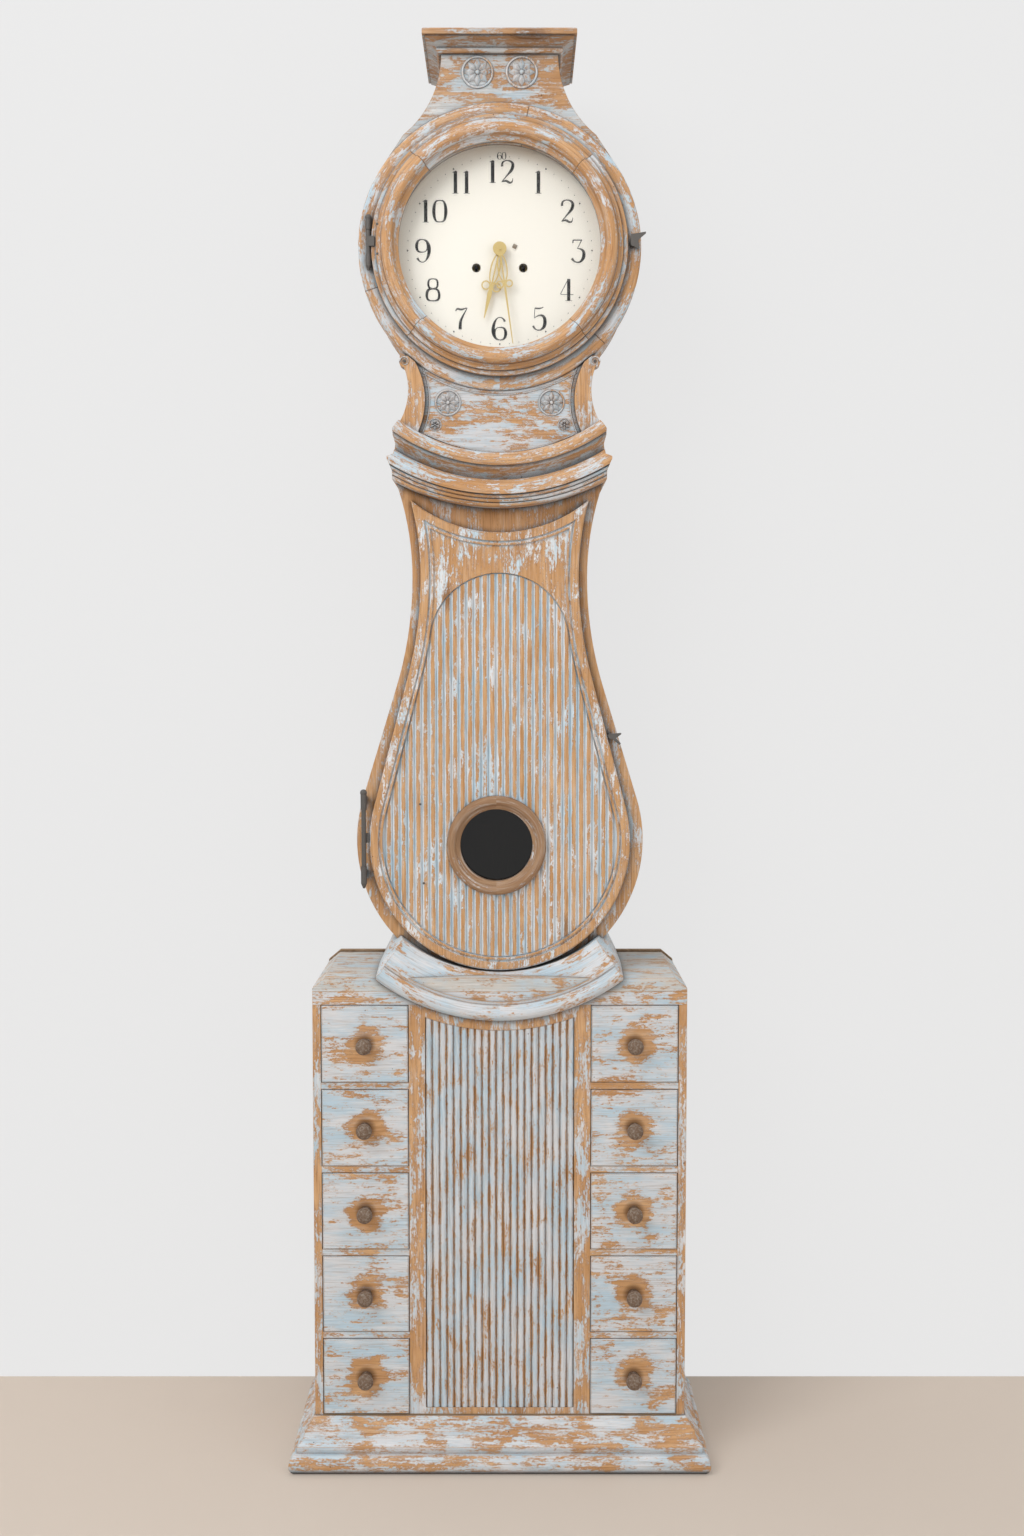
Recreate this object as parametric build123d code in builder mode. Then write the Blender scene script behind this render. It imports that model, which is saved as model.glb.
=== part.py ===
from build123d import *
import os
from math import acos, asin, atan2, cos, degrees, hypot, pi, radians, sin, sqrt

os.makedirs("parts", exist_ok=True)

# A long-case clock of pine: ten-drawer base, pear-shaped trunk, round hood and crown.
# Millimetres. +Z up, -Y forward, origin on the floor at the middle of the footprint.

# ------------------------------------------------------------------ shared clearances
glue_gap = 0.1  # between curved faces that are glued
running_gap = 0.3  # between pieces that slide or swing past each other
pivot_gap = 0.05  # radial play of a pin in its hole
arris = 2  # small step or softened edge of a moulding
quirk = 3  # narrow flat between two members of a moulding

# ------------------------------------------------------------------ base cabinet
cabinet_width = 549
cabinet_depth = 230
cabinet_height = 732
board = 12  # common board thickness
back_board = 12
back_board_rise = 3  # the back board stands proud of the cabinet top
top_board_thickness = 20
top_rail_depth = 20
top_rail_height = 19.7
top_bevel_width = 18
top_bevel_height = 15
plinth_height = 75
plinth_projection = 36
plinth_toe_height = 27
plinth_toe_bulge = 6
plinth_step_projection = 25
plinth_step_height = 38
plinth_ledge_projection = 14
plinth_ledge_height = 57
plinth_reveal = 2  # from the plinth's top edge to the lowest drawers

# drawers
drawer_count = 5  # in each of the two stacks
divider_thickness = 9.7
stack_width = 129
partition_thickness = 12
stile_width = 24
drawer_side_gap = 1.0
drawer_top_gap = 0.9
drawer_proud = 1.5  # the fronts stand this far proud of the cabinet face
drawer_box_depth = 205
drawer_front_thickness = 15
drawer_wall = 9
drawer_floor = 6
knob_radius = 11.5
knob_length = 28
knob_neck_radius = 6
knob_collar = 2
knob_flat = 0.33  # share of the knob's radius that is flat at its tip

# reeded centre panel
base_reed_count = 21
reed_height_base = 3.5
reed_panel_thickness = 10
bottom_rail_height = 10
reed_panel_setback = 3
curved_rail_height = 15

# ------------------------------------------------------------------ trunk
trunk_depth = 183
belly_radius = 212
belly_rise = 198  # from the cabinet's top to the middle of the belly
waist_half_width = 128.3
waist_rise = 388  # from the middle of the belly to the waist
flank_radius = 550  # hollow curve below the waist
flare_radius = 420  # hollow curve above the waist
head_rise = 182  # from the waist to the trunk's head
trunk_wall = 12

door_thickness = 12  # of the plain board
door_border_thickness = 7  # of the moulded border on top of it
door_belly_radius = 192
door_waist_half_width = 115.3
door_top_radius = 203
door_head_gap = 36  # from the door's top edge to the cornice, on the middle line
door_border_width = 19
door_bead_width = 12.5  # of the broad outer bead
door_groove_width = 2
door_groove_depth = 3
door_bead_round = 2
door_overlap = 9  # of the door over the edge of its doorway
field_arch_radius = 103
field_arch_drop = 58.5  # from the door's top edge to the arch of the reeded field
field_gap = 1.5  # shadow line between the border and the reeds
reed_pitch_door = 10.9
reed_height_door = 4
reed_valley = 0.8  # flat left between two reeds

lenticle_x = -5
lenticle_drop = 6  # below the middle of the belly
lenticle_outer_radius = 73
lenticle_sight_radius = 53.3
lenticle_spigot_radius = 60
lenticle_projection = 13
lenticle_lip = 6  # width of the inner bead round the sight opening
lenticle_shoulder = 8  # from the ring's face down to the inner bead
glass_thickness = 2.5
glass_lap = 4  # of a glass over the edge of its sight opening

# collar at the foot of the belly
collar_arc_rise = 40  # of the arc's centre above the middle of the belly
collar_top_radius = 234
collar_height = 66.5
collar_projection_top = 20
collar_projection = 62
collar_band_height = 17
collar_cove_depth = 10  # between the collar's upper slope and its band
collar_rake = 14  # from the cove's edge out to the band's crest
collar_half_width = 180  # of the raked ends at the front, at the foot
collar_top_half_width = 109
collar_return_half_width = 184  # of the ends where they run straight back
collar_return_top_half_width = 153
collar_end_foot = 4  # above the cabinet's top
collar_end_top = 68
collar_return_y = 0

# two-tier cornice at the head of the trunk
cornice_arc_rise = 245  # of the arc's centre above the trunk's head
cornice_top_radius = 249.5
cornice_height = 77.5
cornice_upper_half_width = 154
cornice_lower_half_width = 162
cornice_throat_half_width = 151
cornice_foot_half_width = 155
cornice_head_half_width = 145
cornice_foot_drop = 16  # from the lower tip down to where the end turns upright
cornice_throat_rise = 24  # heights above the lower tip
cornice_upper_rise = 36
cornice_shoulder_rise = 44
cornice_head_rise = 57
cornice_projection = 44
cornice_upper_tier = 19  # height of the upper quarter round
cornice_cove_start = 24
cornice_tier_joint = 39
cornice_lower_lip = 57
cornice_lip = 4
cornice_ovolo = 14  # projection of a quarter round
cornice_undercut = 22  # from the lower lip back to the cove
cornice_bead_count = 3
cornice_bead_step = 3  # that each bead falls back from the one above

# ------------------------------------------------------------------ neck, hood and crown
hood_rise = 297  # from the trunk's head to the middle of the dial
hood_ring_radius = 206.5
hood_ring_bore = 152
hood_ring_thickness = 21
hood_ring_round = 4
hood_depth = 174
drum_radius = 200
drum_wall = 12
neck_depth = 170
neck_half_width = 110
neck_waist_half_width = 109.5  # of the panel between the scrolls
neck_hollow_radius = 111
neck_hollow_rise = 77  # of the hollow's middle above the trunk's head
neck_panel_half_width = 130
scroll_depth = 24
scroll_waist_half_width = 134
scroll_hollow_radius = 92.8
scroll_hollow_rise = 91.4
scroll_half_width = 146
scroll_head_x = 139
scroll_head_rise = 132
scroll_head_radius = 8

crown_half_width = 84.8
crown_hollow_radius = 145
crown_rise = 275  # from the middle of the dial to the crown's eaves
crown_height = 28  # of the crown's cornice
crown_hollow_drop = 114  # from the eaves to the foot of the hollow curve
crown_foot_angle = 37  # above horizontal, where the crown meets the hood's ring
crown_projection = 26.5
crown_fillet_height = 9
crown_bead_height = 8
crown_bead_projection = 6

bezel_outer_radius = 186.5
bezel_sight_radius = 146.7
bezel_thickness = 28
bezel_land_width = 7
bezel_land_height = 9
bezel_torus = 8.5  # half width of the round crest
bezel_cove = 7  # width of the cove between the land and the crest
bezel_sight_slope = 14  # depth of the slope from the crest to the glass
bezel_glass_rest = 4.5  # from the bezel's back to the glass

# ------------------------------------------------------------------ ironwork
bezel_hinge_x = -190.5
bezel_hinge_rise = 5.5  # of the hinge's middle above the middle of the dial
bezel_hinge_length = 69
bezel_knuckle_length = 17  # of the two outer knuckles
bezel_knuckle_radius = 4
bezel_hinge_reach = 7  # from the front ring's face to the hinge axis
trunk_hinge_x = -200
trunk_hinge_rise = 5  # above the middle of the belly
trunk_hinge_length = 134
trunk_knuckle_length = 25
trunk_knuckle_radius = 4.4
trunk_hinge_reach = 22
hinge_pin_radius = 1.6
hinge_waist = 1  # that the middle knuckle is slimmer than the others
hinge_strap = 2.5  # thickness of the strap from the middle knuckle to the door
hinge_strap_height = 14
latch_spindle_radius = 2.5
latch_blade = 3
latch_boss_radius = 4
bezel_latch_x = 194
bezel_latch_rise = 2  # above the middle of the dial
bezel_latch_head = (-3.6, 13)  # corners of the two blades, from their pivots
bezel_latch_horn = (18, 16.5)
bezel_latch_prong = (9, -6.5)
trunk_latch_x = 163
trunk_latch_rise = 155  # above the middle of the belly
trunk_latch_head = (-3, 3.5)
trunk_latch_horn = (15, 5)
trunk_latch_prong = (14.5, -10.5)

# ------------------------------------------------------------------ dial, hands and movement
dial_radius = 165
dial_thickness = 1.5
dial_foot_radius = 2.5
dial_foot_spread = 55
dial_stud_x = 22
dial_stud_rise = 6
dial_stud_width = 4
winding_hole_radius = 6.5
barrel_x = 34.5
barrel_drop = 25  # of the barrel arbors below the hands' arbor
minute_hand_length = 138
hour_hand_length = 102
hand_thickness = 1.5
hand_gap = 3  # between the two hands
hour_hand_gap = 7  # from the dial to the hour hand
hand_band = 2  # width of the bars of the pierced pattern
hand_tip = 1.2
lyre_half_width = 7.5
hour_boss_radius = 9
hour_lyre_end = 50  # distances along the hand
hour_scroll_x = 8
hour_scroll_y = 55
hour_scroll_radius = 6.9
hour_leaf_width = 7
hour_leaf_y = 66
minute_boss_radius = 10
minute_lyre_end = 47
minute_scroll_x = 6.6
minute_scroll_y = 51.7
minute_scroll_radius = 5.7
minute_leaf_width = 3
minute_leaf_y = 62
minute_hand_angle = 172  # clockwise from twelve
hour_hand_angle = 193
hands_arbor_radius = 2.5
hour_pipe_radius = 5
seat_board_drop = 97  # below the middle of the dial
seat_board_thickness = 12
plate_gap = 53
plate_thickness = 3
plate_half_width = 70
plate_rise = 93  # of the plates' top above the middle of the dial
dial_to_plate = 22
pillar_radius = 4
drum_line_radius = 20
barrel_arbor_radius = 3
barrel_length = 32
barrel_flange = 2
barrel_flange_lip = 3
arbor_square = 4.2
arbor_end = 3  # that the winding squares stand in front of the dial's back
line_radius = 1
line_stud_x = 66
line_stud_radius = 2.5
line_stud_reach = 12  # past the middle of the plates
weight_radius = 28
weight_height = 170
weight_rest_rise = 58  # above the cabinet's top
weight_shoulder = 10
weight_chamfer = 4
stirrup_height = 40  # from the weight's top to the pulley's axle
stirrup_width = 8
stirrup_strap = 2
pulley_thickness = 8
pulley_axle_radius = 2
pendulum_rise = 69  # of the pendulum's pivot above the middle of the dial
pendulum_bob_drop = 9  # below the middle of the lenticle
pendulum_bob_radius = 50
pendulum_bob_thickness = 16
pendulum_rod_radius = 3
pendulum_rod_tail = 20
pendulum_eye_radius = 7
pendulum_eye_width = 5
rating_nut_radius = 7
rating_nut_height = 7
cock_reach = 27  # from the back plate to the pendulum's cock
cock_width = 20
cock_height = 6
cock_thickness = 4
pendulum_stud_radius = 2
pendulum_stud_length = 10
bell_radius = 38
bell_wall = 2.5
bell_steps = 10  # facets from the bell's mouth to its crown
bell_rise = 18  # of its mouth above the plates
hammer_x = -50
hammer_rise = 53  # of its arbor above the middle of the dial
hammer_lean = 5.5  # that its head stands nearer the middle than its arbor
hammer_length = 64
hammer_head_radius = 5
hammer_head_length = 16
hammer_arbor_radius = 2
hammer_shank = 3
upper_pillar_x = 63
lower_pillar_x = 45
centre_wheel_radius = 30
great_wheel_radius = 39
second_wheel_radius = 24
second_arbor_x = 23
second_arbor_rise = 24.5
escape_wheel_radius = 16
wheel_thickness = 1.5
wheel_rim = 4
tooth_depth = 1.8
wheel_hub = 8
wheel_step = 4  # between neighbouring wheels, front to back
great_wheel_teeth = 24
second_wheel_teeth = 18
escape_wheel_teeth = 15
escape_arbor_rise = 39
train_arbor_radius = 1.5
anchor_arbor_radius = 1.5
pallet_reach = 18
crutch_length = 110
crutch_width = 5
crutch_thickness = 2
anchor_web = 4

# ------------------------------------------------------------------ derived planes and levels
belly_centre_z = cabinet_height + belly_rise
waist_z = belly_centre_z + waist_rise
trunk_head_z = waist_z + head_rise
lenticle_z = belly_centre_z - lenticle_drop
collar_arc_centre_z = belly_centre_z + collar_arc_rise
cornice_arc_centre_z = trunk_head_z + cornice_arc_rise
hood_centre_z = trunk_head_z + hood_rise
crown_eaves_z = hood_centre_z + crown_rise
clock_height = crown_eaves_z + crown_height
back_y = (cabinet_depth + plinth_projection) / 2
cabinet_front = back_y - cabinet_depth
inner_back = back_y - back_board
trunk_front = back_y - trunk_depth
hood_front = back_y - hood_depth
neck_front = back_y - neck_depth
dial_front = hood_front + hood_ring_thickness
drawer_base_z = plinth_height + plinth_reveal
top_board_z = cabinet_height - top_board_thickness
rail_z = top_board_z - top_rail_height  # underside of the top front rail
drawer_pitch = (rail_z - drawer_base_z + divider_thickness) / drawer_count
drawer_opening_height = drawer_pitch - divider_thickness
side_inner_x = cabinet_width / 2 - board
stack_inner_x = side_inner_x - stack_width
panel_half_width = stack_inner_x - stile_width
stack_centre_x = side_inner_x - stack_width / 2
collar_bottom_radius = collar_top_radius + collar_height
cornice_bottom_radius = cornice_top_radius + cornice_height
door_top_z = cornice_arc_centre_z - cornice_bottom_radius - door_head_gap
door_back = trunk_front - running_gap
door_face = door_back - door_thickness
door_field_face = door_face - reed_height_door
door_border_face = door_face - door_border_thickness
front_plate_y = dial_front + dial_to_plate
back_plate_y = front_plate_y + plate_thickness + plate_gap
barrel_z = hood_centre_z - barrel_drop
seat_board_z = hood_centre_z - seat_board_drop
seat_top_z = seat_board_z + seat_board_thickness
plate_top_z = hood_centre_z + plate_rise
second_arbor_z = hood_centre_z + second_arbor_rise
escape_arbor_z = hood_centre_z + escape_arbor_rise
pendulum_pivot_z = hood_centre_z + pendulum_rise
pendulum_bob_z = lenticle_z - pendulum_bob_drop
weight_rest_z = cabinet_height + weight_rest_rise
bell_z = plate_top_z + bell_rise
hammer_pivot = (hammer_x, hood_centre_z + hammer_rise)
hammer_tip = (hammer_x + hammer_lean, hood_centre_z + hammer_rise + hammer_length)
trunk_latch_z = belly_centre_z + trunk_latch_rise
bezel_latch_z = hood_centre_z + bezel_latch_rise
panel_back = dial_front
crown_top_z = clock_height - crown_fillet_height
line_y = (front_plate_y + back_plate_y) / 2


# ------------------------------------------------------------------ helpers
def at_y(y):
    """Upright drawing plane at a depth, seen from the front: x to the right, y up."""
    return Plane.XZ.offset(-y)


def save(piece, name):
    """Label a finished piece and write it to its own file."""
    piece.part.label = name
    export_step(piece.part, f"parts/{name}.step")


def trunk_face(belly, waist, foot_z):
    """Pear-shaped outline of the trunk for a belly radius, a waist half width and a foot."""
    hollow = waist_half_width + flank_radius - waist
    rise = waist_z - belly_centre_z
    reach = hypot(waist + hollow, rise)
    lean = atan2(rise, waist + hollow) - acos((belly + hollow) / reach)
    foot_x = sqrt(belly**2 - (belly_centre_z - foot_z) ** 2)
    belly_end = (belly * cos(lean), belly_centre_z + belly * sin(lean))
    flank_x = waist + hollow
    flank_start = (flank_x - hollow * cos(lean), waist_z - hollow * sin(lean))
    flank_mid = (flank_x - hollow * cos(lean / 2), waist_z - hollow * sin(lean / 2))
    flare = waist_half_width + flare_radius - waist
    head_lean = asin((trunk_head_z - waist_z) / flare)
    flare_x = waist + flare
    flare_mid = (flare_x - flare * cos(head_lean / 2), waist_z + flare * sin(head_lean / 2))
    head = (flare_x - flare * cos(head_lean), trunk_head_z)
    with BuildSketch() as outline:
        with BuildLine():
            ThreePointArc((foot_x, foot_z), (belly, belly_centre_z), belly_end)
            Line(belly_end, flank_start)
            ThreePointArc(flank_start, flank_mid, (waist, waist_z))
            ThreePointArc((waist, waist_z), flare_mid, head)
            Line(head, (0, trunk_head_z))
            if foot_x > 0:
                Line((0, foot_z), (foot_x, foot_z))
            mirror(about=Plane.YZ)
        make_face()
    return outline.sketch


def trunk_board_face(belly, waist, foot_z):
    """The trunk outline, cut off at the top along the underside of the cornice."""
    with BuildSketch() as outline:
        add(trunk_face(belly, waist, foot_z))
        with Locations((0, cornice_arc_centre_z)):
            Circle(cornice_bottom_radius + glue_gap, mode=Mode.SUBTRACT)
    return outline.sketch


def door_outline(belly, waist, top_z):
    """Outline of the door or of anything set in from it, with its smile-shaped top."""
    radius = door_top_radius + door_top_z - top_z
    with BuildSketch() as outline:
        add(trunk_face(belly, waist, belly_centre_z - belly))
        with Locations((0, door_top_z + door_top_radius)):
            Circle(radius, mode=Mode.SUBTRACT)
    return outline.sketch


def crown_face(inset, top_z):
    """Outline of the crown above the hood: upright, hollow, then straight down to the ring."""
    half = crown_half_width - inset
    hollow = crown_hollow_radius + inset
    hollow_end = hollow_point(half, hollow, crown_eaves_z - crown_hollow_drop)
    foot_x = hood_ring_radius * cos(radians(crown_foot_angle)) - inset
    foot_z = hood_centre_z + hood_ring_radius * sin(radians(crown_foot_angle))
    with BuildSketch() as outline:
        with BuildLine():
            Polyline((0, top_z), (half, top_z), (half, crown_eaves_z))
            ThreePointArc((half, crown_eaves_z),
                          hollow_point(half, hollow, crown_eaves_z - crown_hollow_drop / 2), hollow_end)
            Polyline(hollow_end, (foot_x, foot_z), (0, foot_z))
            mirror(about=Plane.YZ)
        make_face()
    return outline.sketch


def hollow_point(half, hollow, z):
    """Point of the crown's hollow curve at a height."""
    return (half + hollow - sqrt(hollow**2 - (crown_eaves_z - z) ** 2), z)


def turning_axis(x, z):
    """Axis of a piece turned on a lathe, front to back."""
    return Axis((x, 0, z), (0, 1, 0))


def reed_strip(count, pitch, height, thickness):
    """Plan of a board with half-round reeds along its front, centred on x = 0."""
    half = count * pitch / 2
    with BuildSketch() as plan:
        with BuildLine():
            for i in range(count):
                left = -half + i * pitch
                start = left + reed_valley / 2
                end = left + pitch - reed_valley / 2
                Line((left, 0), (start, 0))
                ThreePointArc((start, 0), (left + pitch / 2, -height), (end, 0))
                Line((end, 0), (left + pitch, 0))
            Polyline((half, 0), (half, thickness), (-half, thickness), (-half, 0))
        make_face()
    return plan.sketch


def hinge_knuckle(x, y, bottom, top, radius, bore):
    """One upright knuckle of a hinge with a bore for its pin."""
    with BuildPart() as knuckle:
        with BuildSketch(Plane.XY.offset(bottom)):
            with Locations((x, y)):
                Circle(radius)
                Circle(bore, mode=Mode.SUBTRACT)
        extrude(amount=top - bottom)
    return knuckle.part


def toothed_wheel(x, z, y, radius, teeth, hub, bore):
    """Clock wheel with plain teeth, four crossings and a hub, standing across the y axis."""
    root = radius - tooth_depth
    rim = root - wheel_rim
    with BuildPart() as wheel:
        with BuildSketch(at_y(y + wheel_thickness)):
            with Locations((x, z)):
                Circle(root)
                with PolarLocations(root, teeth):
                    Rectangle(2 * tooth_depth, pi * root / teeth)
                with PolarLocations((rim + hub) / 2, 4):
                    Circle(0.45 * (rim - hub), mode=Mode.SUBTRACT)
                Circle(bore, mode=Mode.SUBTRACT)
        extrude(amount=wheel_thickness)
    return wheel.part


# ------------------------------------------------------------------ base cabinet
with BuildSketch() as plinth_section:
    with BuildLine():
        toe_x = plinth_projection - plinth_toe_bulge
        step_foot = (plinth_step_projection, plinth_toe_height + arris)
        step_top = (plinth_step_projection, plinth_step_height)
        ledge = (plinth_ledge_projection, plinth_ledge_height)
        Line((0, 0), (toe_x, 0))
        ThreePointArc((toe_x, 0), (plinth_projection, plinth_toe_height / 2), (toe_x, plinth_toe_height))
        Polyline((toe_x, plinth_toe_height), step_foot, step_top)
        ThreePointArc(step_top, (plinth_ledge_projection + quirk,
                                 (plinth_step_height + plinth_ledge_height) / 2), ledge)
        Polyline(ledge, (plinth_ledge_projection - quirk, plinth_ledge_height + arris), (arris, plinth_height),
                 (0, plinth_height), (0, 0))
    make_face()


def moulded_run(section, half_width, front):
    """A moulding along the front and both sides of a box, mitred at the corners."""
    start = Plane(origin=(-half_width, back_y, 0), x_dir=(-1, 0, 0), z_dir=(0, 1, 0))
    with BuildPart() as run:
        with BuildLine():
            Polyline((-half_width, back_y, 0), (-half_width, front, 0), (half_width, front, 0),
                     (half_width, back_y, 0))
        with BuildSketch(start):
            add(section)
        sweep(transition=Transition.RIGHT)
    return run


plinth_moulding = moulded_run(plinth_section.sketch, cabinet_width / 2, cabinet_front)
save(plinth_moulding, "plinth_moulding")

with BuildPart() as base_sides:
    with BuildSketch(Plane.YZ.offset(side_inner_x)):
        with BuildLine():
            Polyline((cabinet_front, 0), (inner_back, 0), (inner_back, top_board_z),
                     (cabinet_front + top_rail_depth, top_board_z), (cabinet_front + top_rail_depth, rail_z),
                     (cabinet_front, rail_z), (cabinet_front, 0))
        make_face()
    extrude(amount=board)
    mirror(about=Plane.YZ)
save(base_sides, "base_sides")

with BuildPart() as base_back_board:
    rim_z = cabinet_height + back_board_rise
    with BuildSketch(at_y(back_y)):
        with BuildLine():
            Polyline((0, 0), (cabinet_width / 2, 0), (cabinet_width / 2, rim_z - top_bevel_height),
                     (cabinet_width / 2 - top_bevel_width, rim_z), (0, rim_z))
            mirror(about=Plane.YZ)
        make_face()
        with Locations((0, cabinet_height)):
            Rectangle(2 * (collar_return_half_width + glue_gap), board, align=(Align.CENTER, Align.MIN),
                      mode=Mode.SUBTRACT)
    extrude(amount=back_board)
save(base_back_board, "base_back_board")

with BuildPart() as base_bottom_board:
    with BuildSketch(Plane.XY.offset(drawer_base_z)):
        with BuildLine():
            Polyline((-side_inner_x, cabinet_front), (side_inner_x, cabinet_front), (side_inner_x, inner_back),
                     (-side_inner_x, inner_back), close=True)
        make_face()
    extrude(amount=-board)
    with BuildSketch(at_y(cabinet_front)):
        Rectangle(2 * side_inner_x, drawer_base_z - board, align=(Align.CENTER, Align.MIN))
    extrude(amount=-board)
save(base_bottom_board, "base_bottom_board")

with BuildPart() as base_top_board:
    with BuildSketch(at_y(inner_back)):
        with BuildLine():
            Polyline((0, top_board_z), (cabinet_width / 2, top_board_z),
                     (cabinet_width / 2, cabinet_height - top_bevel_height),
                     (cabinet_width / 2 - top_bevel_width, cabinet_height), (0, cabinet_height))
            mirror(about=Plane.YZ)
        make_face()
    extrude(amount=inner_back - cabinet_front)
save(base_top_board, "base_top_board")

with BuildPart() as base_top_rail:
    with Locations((0, cabinet_front, rail_z)):
        Box(cabinet_width, top_rail_depth, top_board_z - rail_z, align=(Align.CENTER, Align.MIN, Align.MIN))
save(base_top_rail, "base_top_rail")

with BuildPart() as drawer_partitions:
    with BuildSketch(Plane.YZ.offset(stack_inner_x - partition_thickness)):
        with BuildLine():
            Polyline((cabinet_front + board, drawer_base_z), (inner_back, drawer_base_z),
                     (inner_back, top_board_z), (cabinet_front + top_rail_depth, top_board_z),
                     (cabinet_front + top_rail_depth, rail_z), (cabinet_front + board, rail_z),
                     (cabinet_front + board, drawer_base_z))
        make_face()
    extrude(amount=partition_thickness)
    mirror(about=Plane.YZ)
save(drawer_partitions, "drawer_partitions")

with BuildPart() as drawer_dividers:
    divider_levels = [drawer_base_z + (i + 1) * drawer_pitch - divider_thickness
                      for i in range(drawer_count - 1)]
    with Locations([(side * stack_centre_x, cabinet_front, z) for side in (-1, 1) for z in divider_levels]):
        Box(stack_width, inner_back - cabinet_front, divider_thickness,
            align=(Align.CENTER, Align.MIN, Align.MIN))
save(drawer_dividers, "drawer_dividers")

panel_foot_z = drawer_base_z + bottom_rail_height
panel_arc_radius = collar_bottom_radius + curved_rail_height
with BuildPart() as centre_frame:
    with BuildSketch(at_y(cabinet_front + board)):
        with Locations((0, drawer_base_z)):
            Rectangle(2 * stack_inner_x, rail_z - drawer_base_z, align=(Align.CENTER, Align.MIN))
        with Locations((0, panel_foot_z)):
            Rectangle(2 * panel_half_width, rail_z, align=(Align.CENTER, Align.MIN), mode=Mode.SUBTRACT)
    extrude(amount=board)
    with BuildSketch(at_y(cabinet_front + board)):
        with Locations((0, rail_z)):
            Rectangle(2 * panel_half_width, panel_arc_radius, align=(Align.CENTER, Align.MAX))
        with Locations((0, collar_arc_centre_z)):
            Circle(panel_arc_radius, mode=Mode.INTERSECT)
    extrude(amount=board)
save(centre_frame, "centre_frame")

reed_pitch_base = 2 * (panel_half_width - glue_gap) / base_reed_count
reed_panel_plan = reed_strip(base_reed_count, reed_pitch_base, reed_height_base, reed_panel_thickness)
with BuildPart() as reeded_panel:
    with BuildSketch(Plane.XY.offset(panel_foot_z)):
        with Locations((0, cabinet_front + reed_panel_setback)):
            add(reed_panel_plan)
    extrude(amount=rail_z - panel_foot_z)
    with BuildSketch(at_y(back_y)):
        with Locations((0, collar_arc_centre_z)):
            Circle(panel_arc_radius + glue_gap)
    extrude(amount=cabinet_depth + plinth_projection, mode=Mode.SUBTRACT)
save(reeded_panel, "reeded_panel")


# ------------------------------------------------------------------ drawers
def drawer(side, level):
    """One drawer with its turned knob, in the stack on a side and at a level from the floor."""
    x = side * stack_centre_x
    z = drawer_base_z + level * drawer_pitch + running_gap
    width = stack_width - 2 * drawer_side_gap
    height = drawer_opening_height - running_gap - drawer_top_gap
    front = cabinet_front - drawer_proud
    knob_z = z + height / 2
    with BuildPart() as piece:
        with Locations((x, front, z)):
            Box(width, drawer_box_depth, height, align=(Align.CENTER, Align.MIN, Align.MIN))
        chamfer(piece.faces().sort_by(Axis.Y)[0].edges(), drawer_proud)
        with Locations((x, front + drawer_front_thickness, z + drawer_floor)):
            Box(width - 2 * drawer_wall, drawer_box_depth - drawer_front_thickness - drawer_wall, height,
                align=(Align.CENTER, Align.MIN, Align.MIN), mode=Mode.SUBTRACT)
        with BuildSketch(Plane.YZ.offset(x)):
            foot = front - glue_gap
            tip = foot - knob_length
            collar_top = knob_z + knob_neck_radius + knob_collar
            neck_end = (tip + 1.5 * knob_radius, knob_z + knob_neck_radius)
            flat_end = (tip, knob_z + knob_flat * knob_radius)
            with BuildLine():
                Polyline(flat_end, (tip, knob_z), (foot, knob_z), (foot, collar_top),
                         (foot - knob_collar, collar_top), neck_end)
                ThreePointArc(neck_end, (tip + 0.65 * knob_radius, knob_z + knob_radius), flat_end)
            make_face()
        revolve(axis=turning_axis(x, knob_z))
    return piece


for side, side_name in ((-1, "left"), (1, "right")):
    for level in range(drawer_count):
        save(drawer(side, level), f"drawer_{side_name}_{level + 1}")


# ------------------------------------------------------------------ collar under the belly
def collar_point(down, out):
    """Point of the collar's section, below its top edge and out from the trunk's face."""
    return (trunk_front - out, collar_arc_centre_z - collar_top_radius - down)


def collar_end(foot, top):
    """Half outline of the collar's end cut, leaning in from its foot to its top."""
    with BuildLine() as half:
        Polyline((0, cabinet_height - arris), (foot, cabinet_height - arris),
                 (foot, cabinet_height + collar_end_foot), (top, cabinet_height + collar_end_top),
                 (0, cabinet_height + collar_end_top))
        mirror(about=Plane.YZ)
    return half.line


collar_shoulder = collar_height - collar_band_height - collar_cove_depth + arris
collar_edge = collar_point(arris, collar_projection_top + arris)
collar_cove_end = collar_point(collar_shoulder, collar_projection - collar_rake)
collar_bead_start = collar_point(collar_shoulder + quirk, collar_projection - collar_cove_depth)
collar_lip = collar_point(collar_height, collar_projection - collar_cove_depth / 2)
with BuildPart() as collar_block:
    with BuildSketch(at_y(trunk_front - collar_projection - arris)):
        add(collar_end(collar_half_width, collar_top_half_width))
        make_face()
    with BuildSketch(at_y(collar_return_y)):
        add(collar_end(collar_return_half_width, collar_return_top_half_width))
        make_face()
    loft(ruled=True)
    with BuildSketch(at_y(back_y)):
        add(collar_end(collar_return_half_width, collar_return_top_half_width))
        make_face()
    extrude(amount=back_y - collar_return_y)

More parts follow.
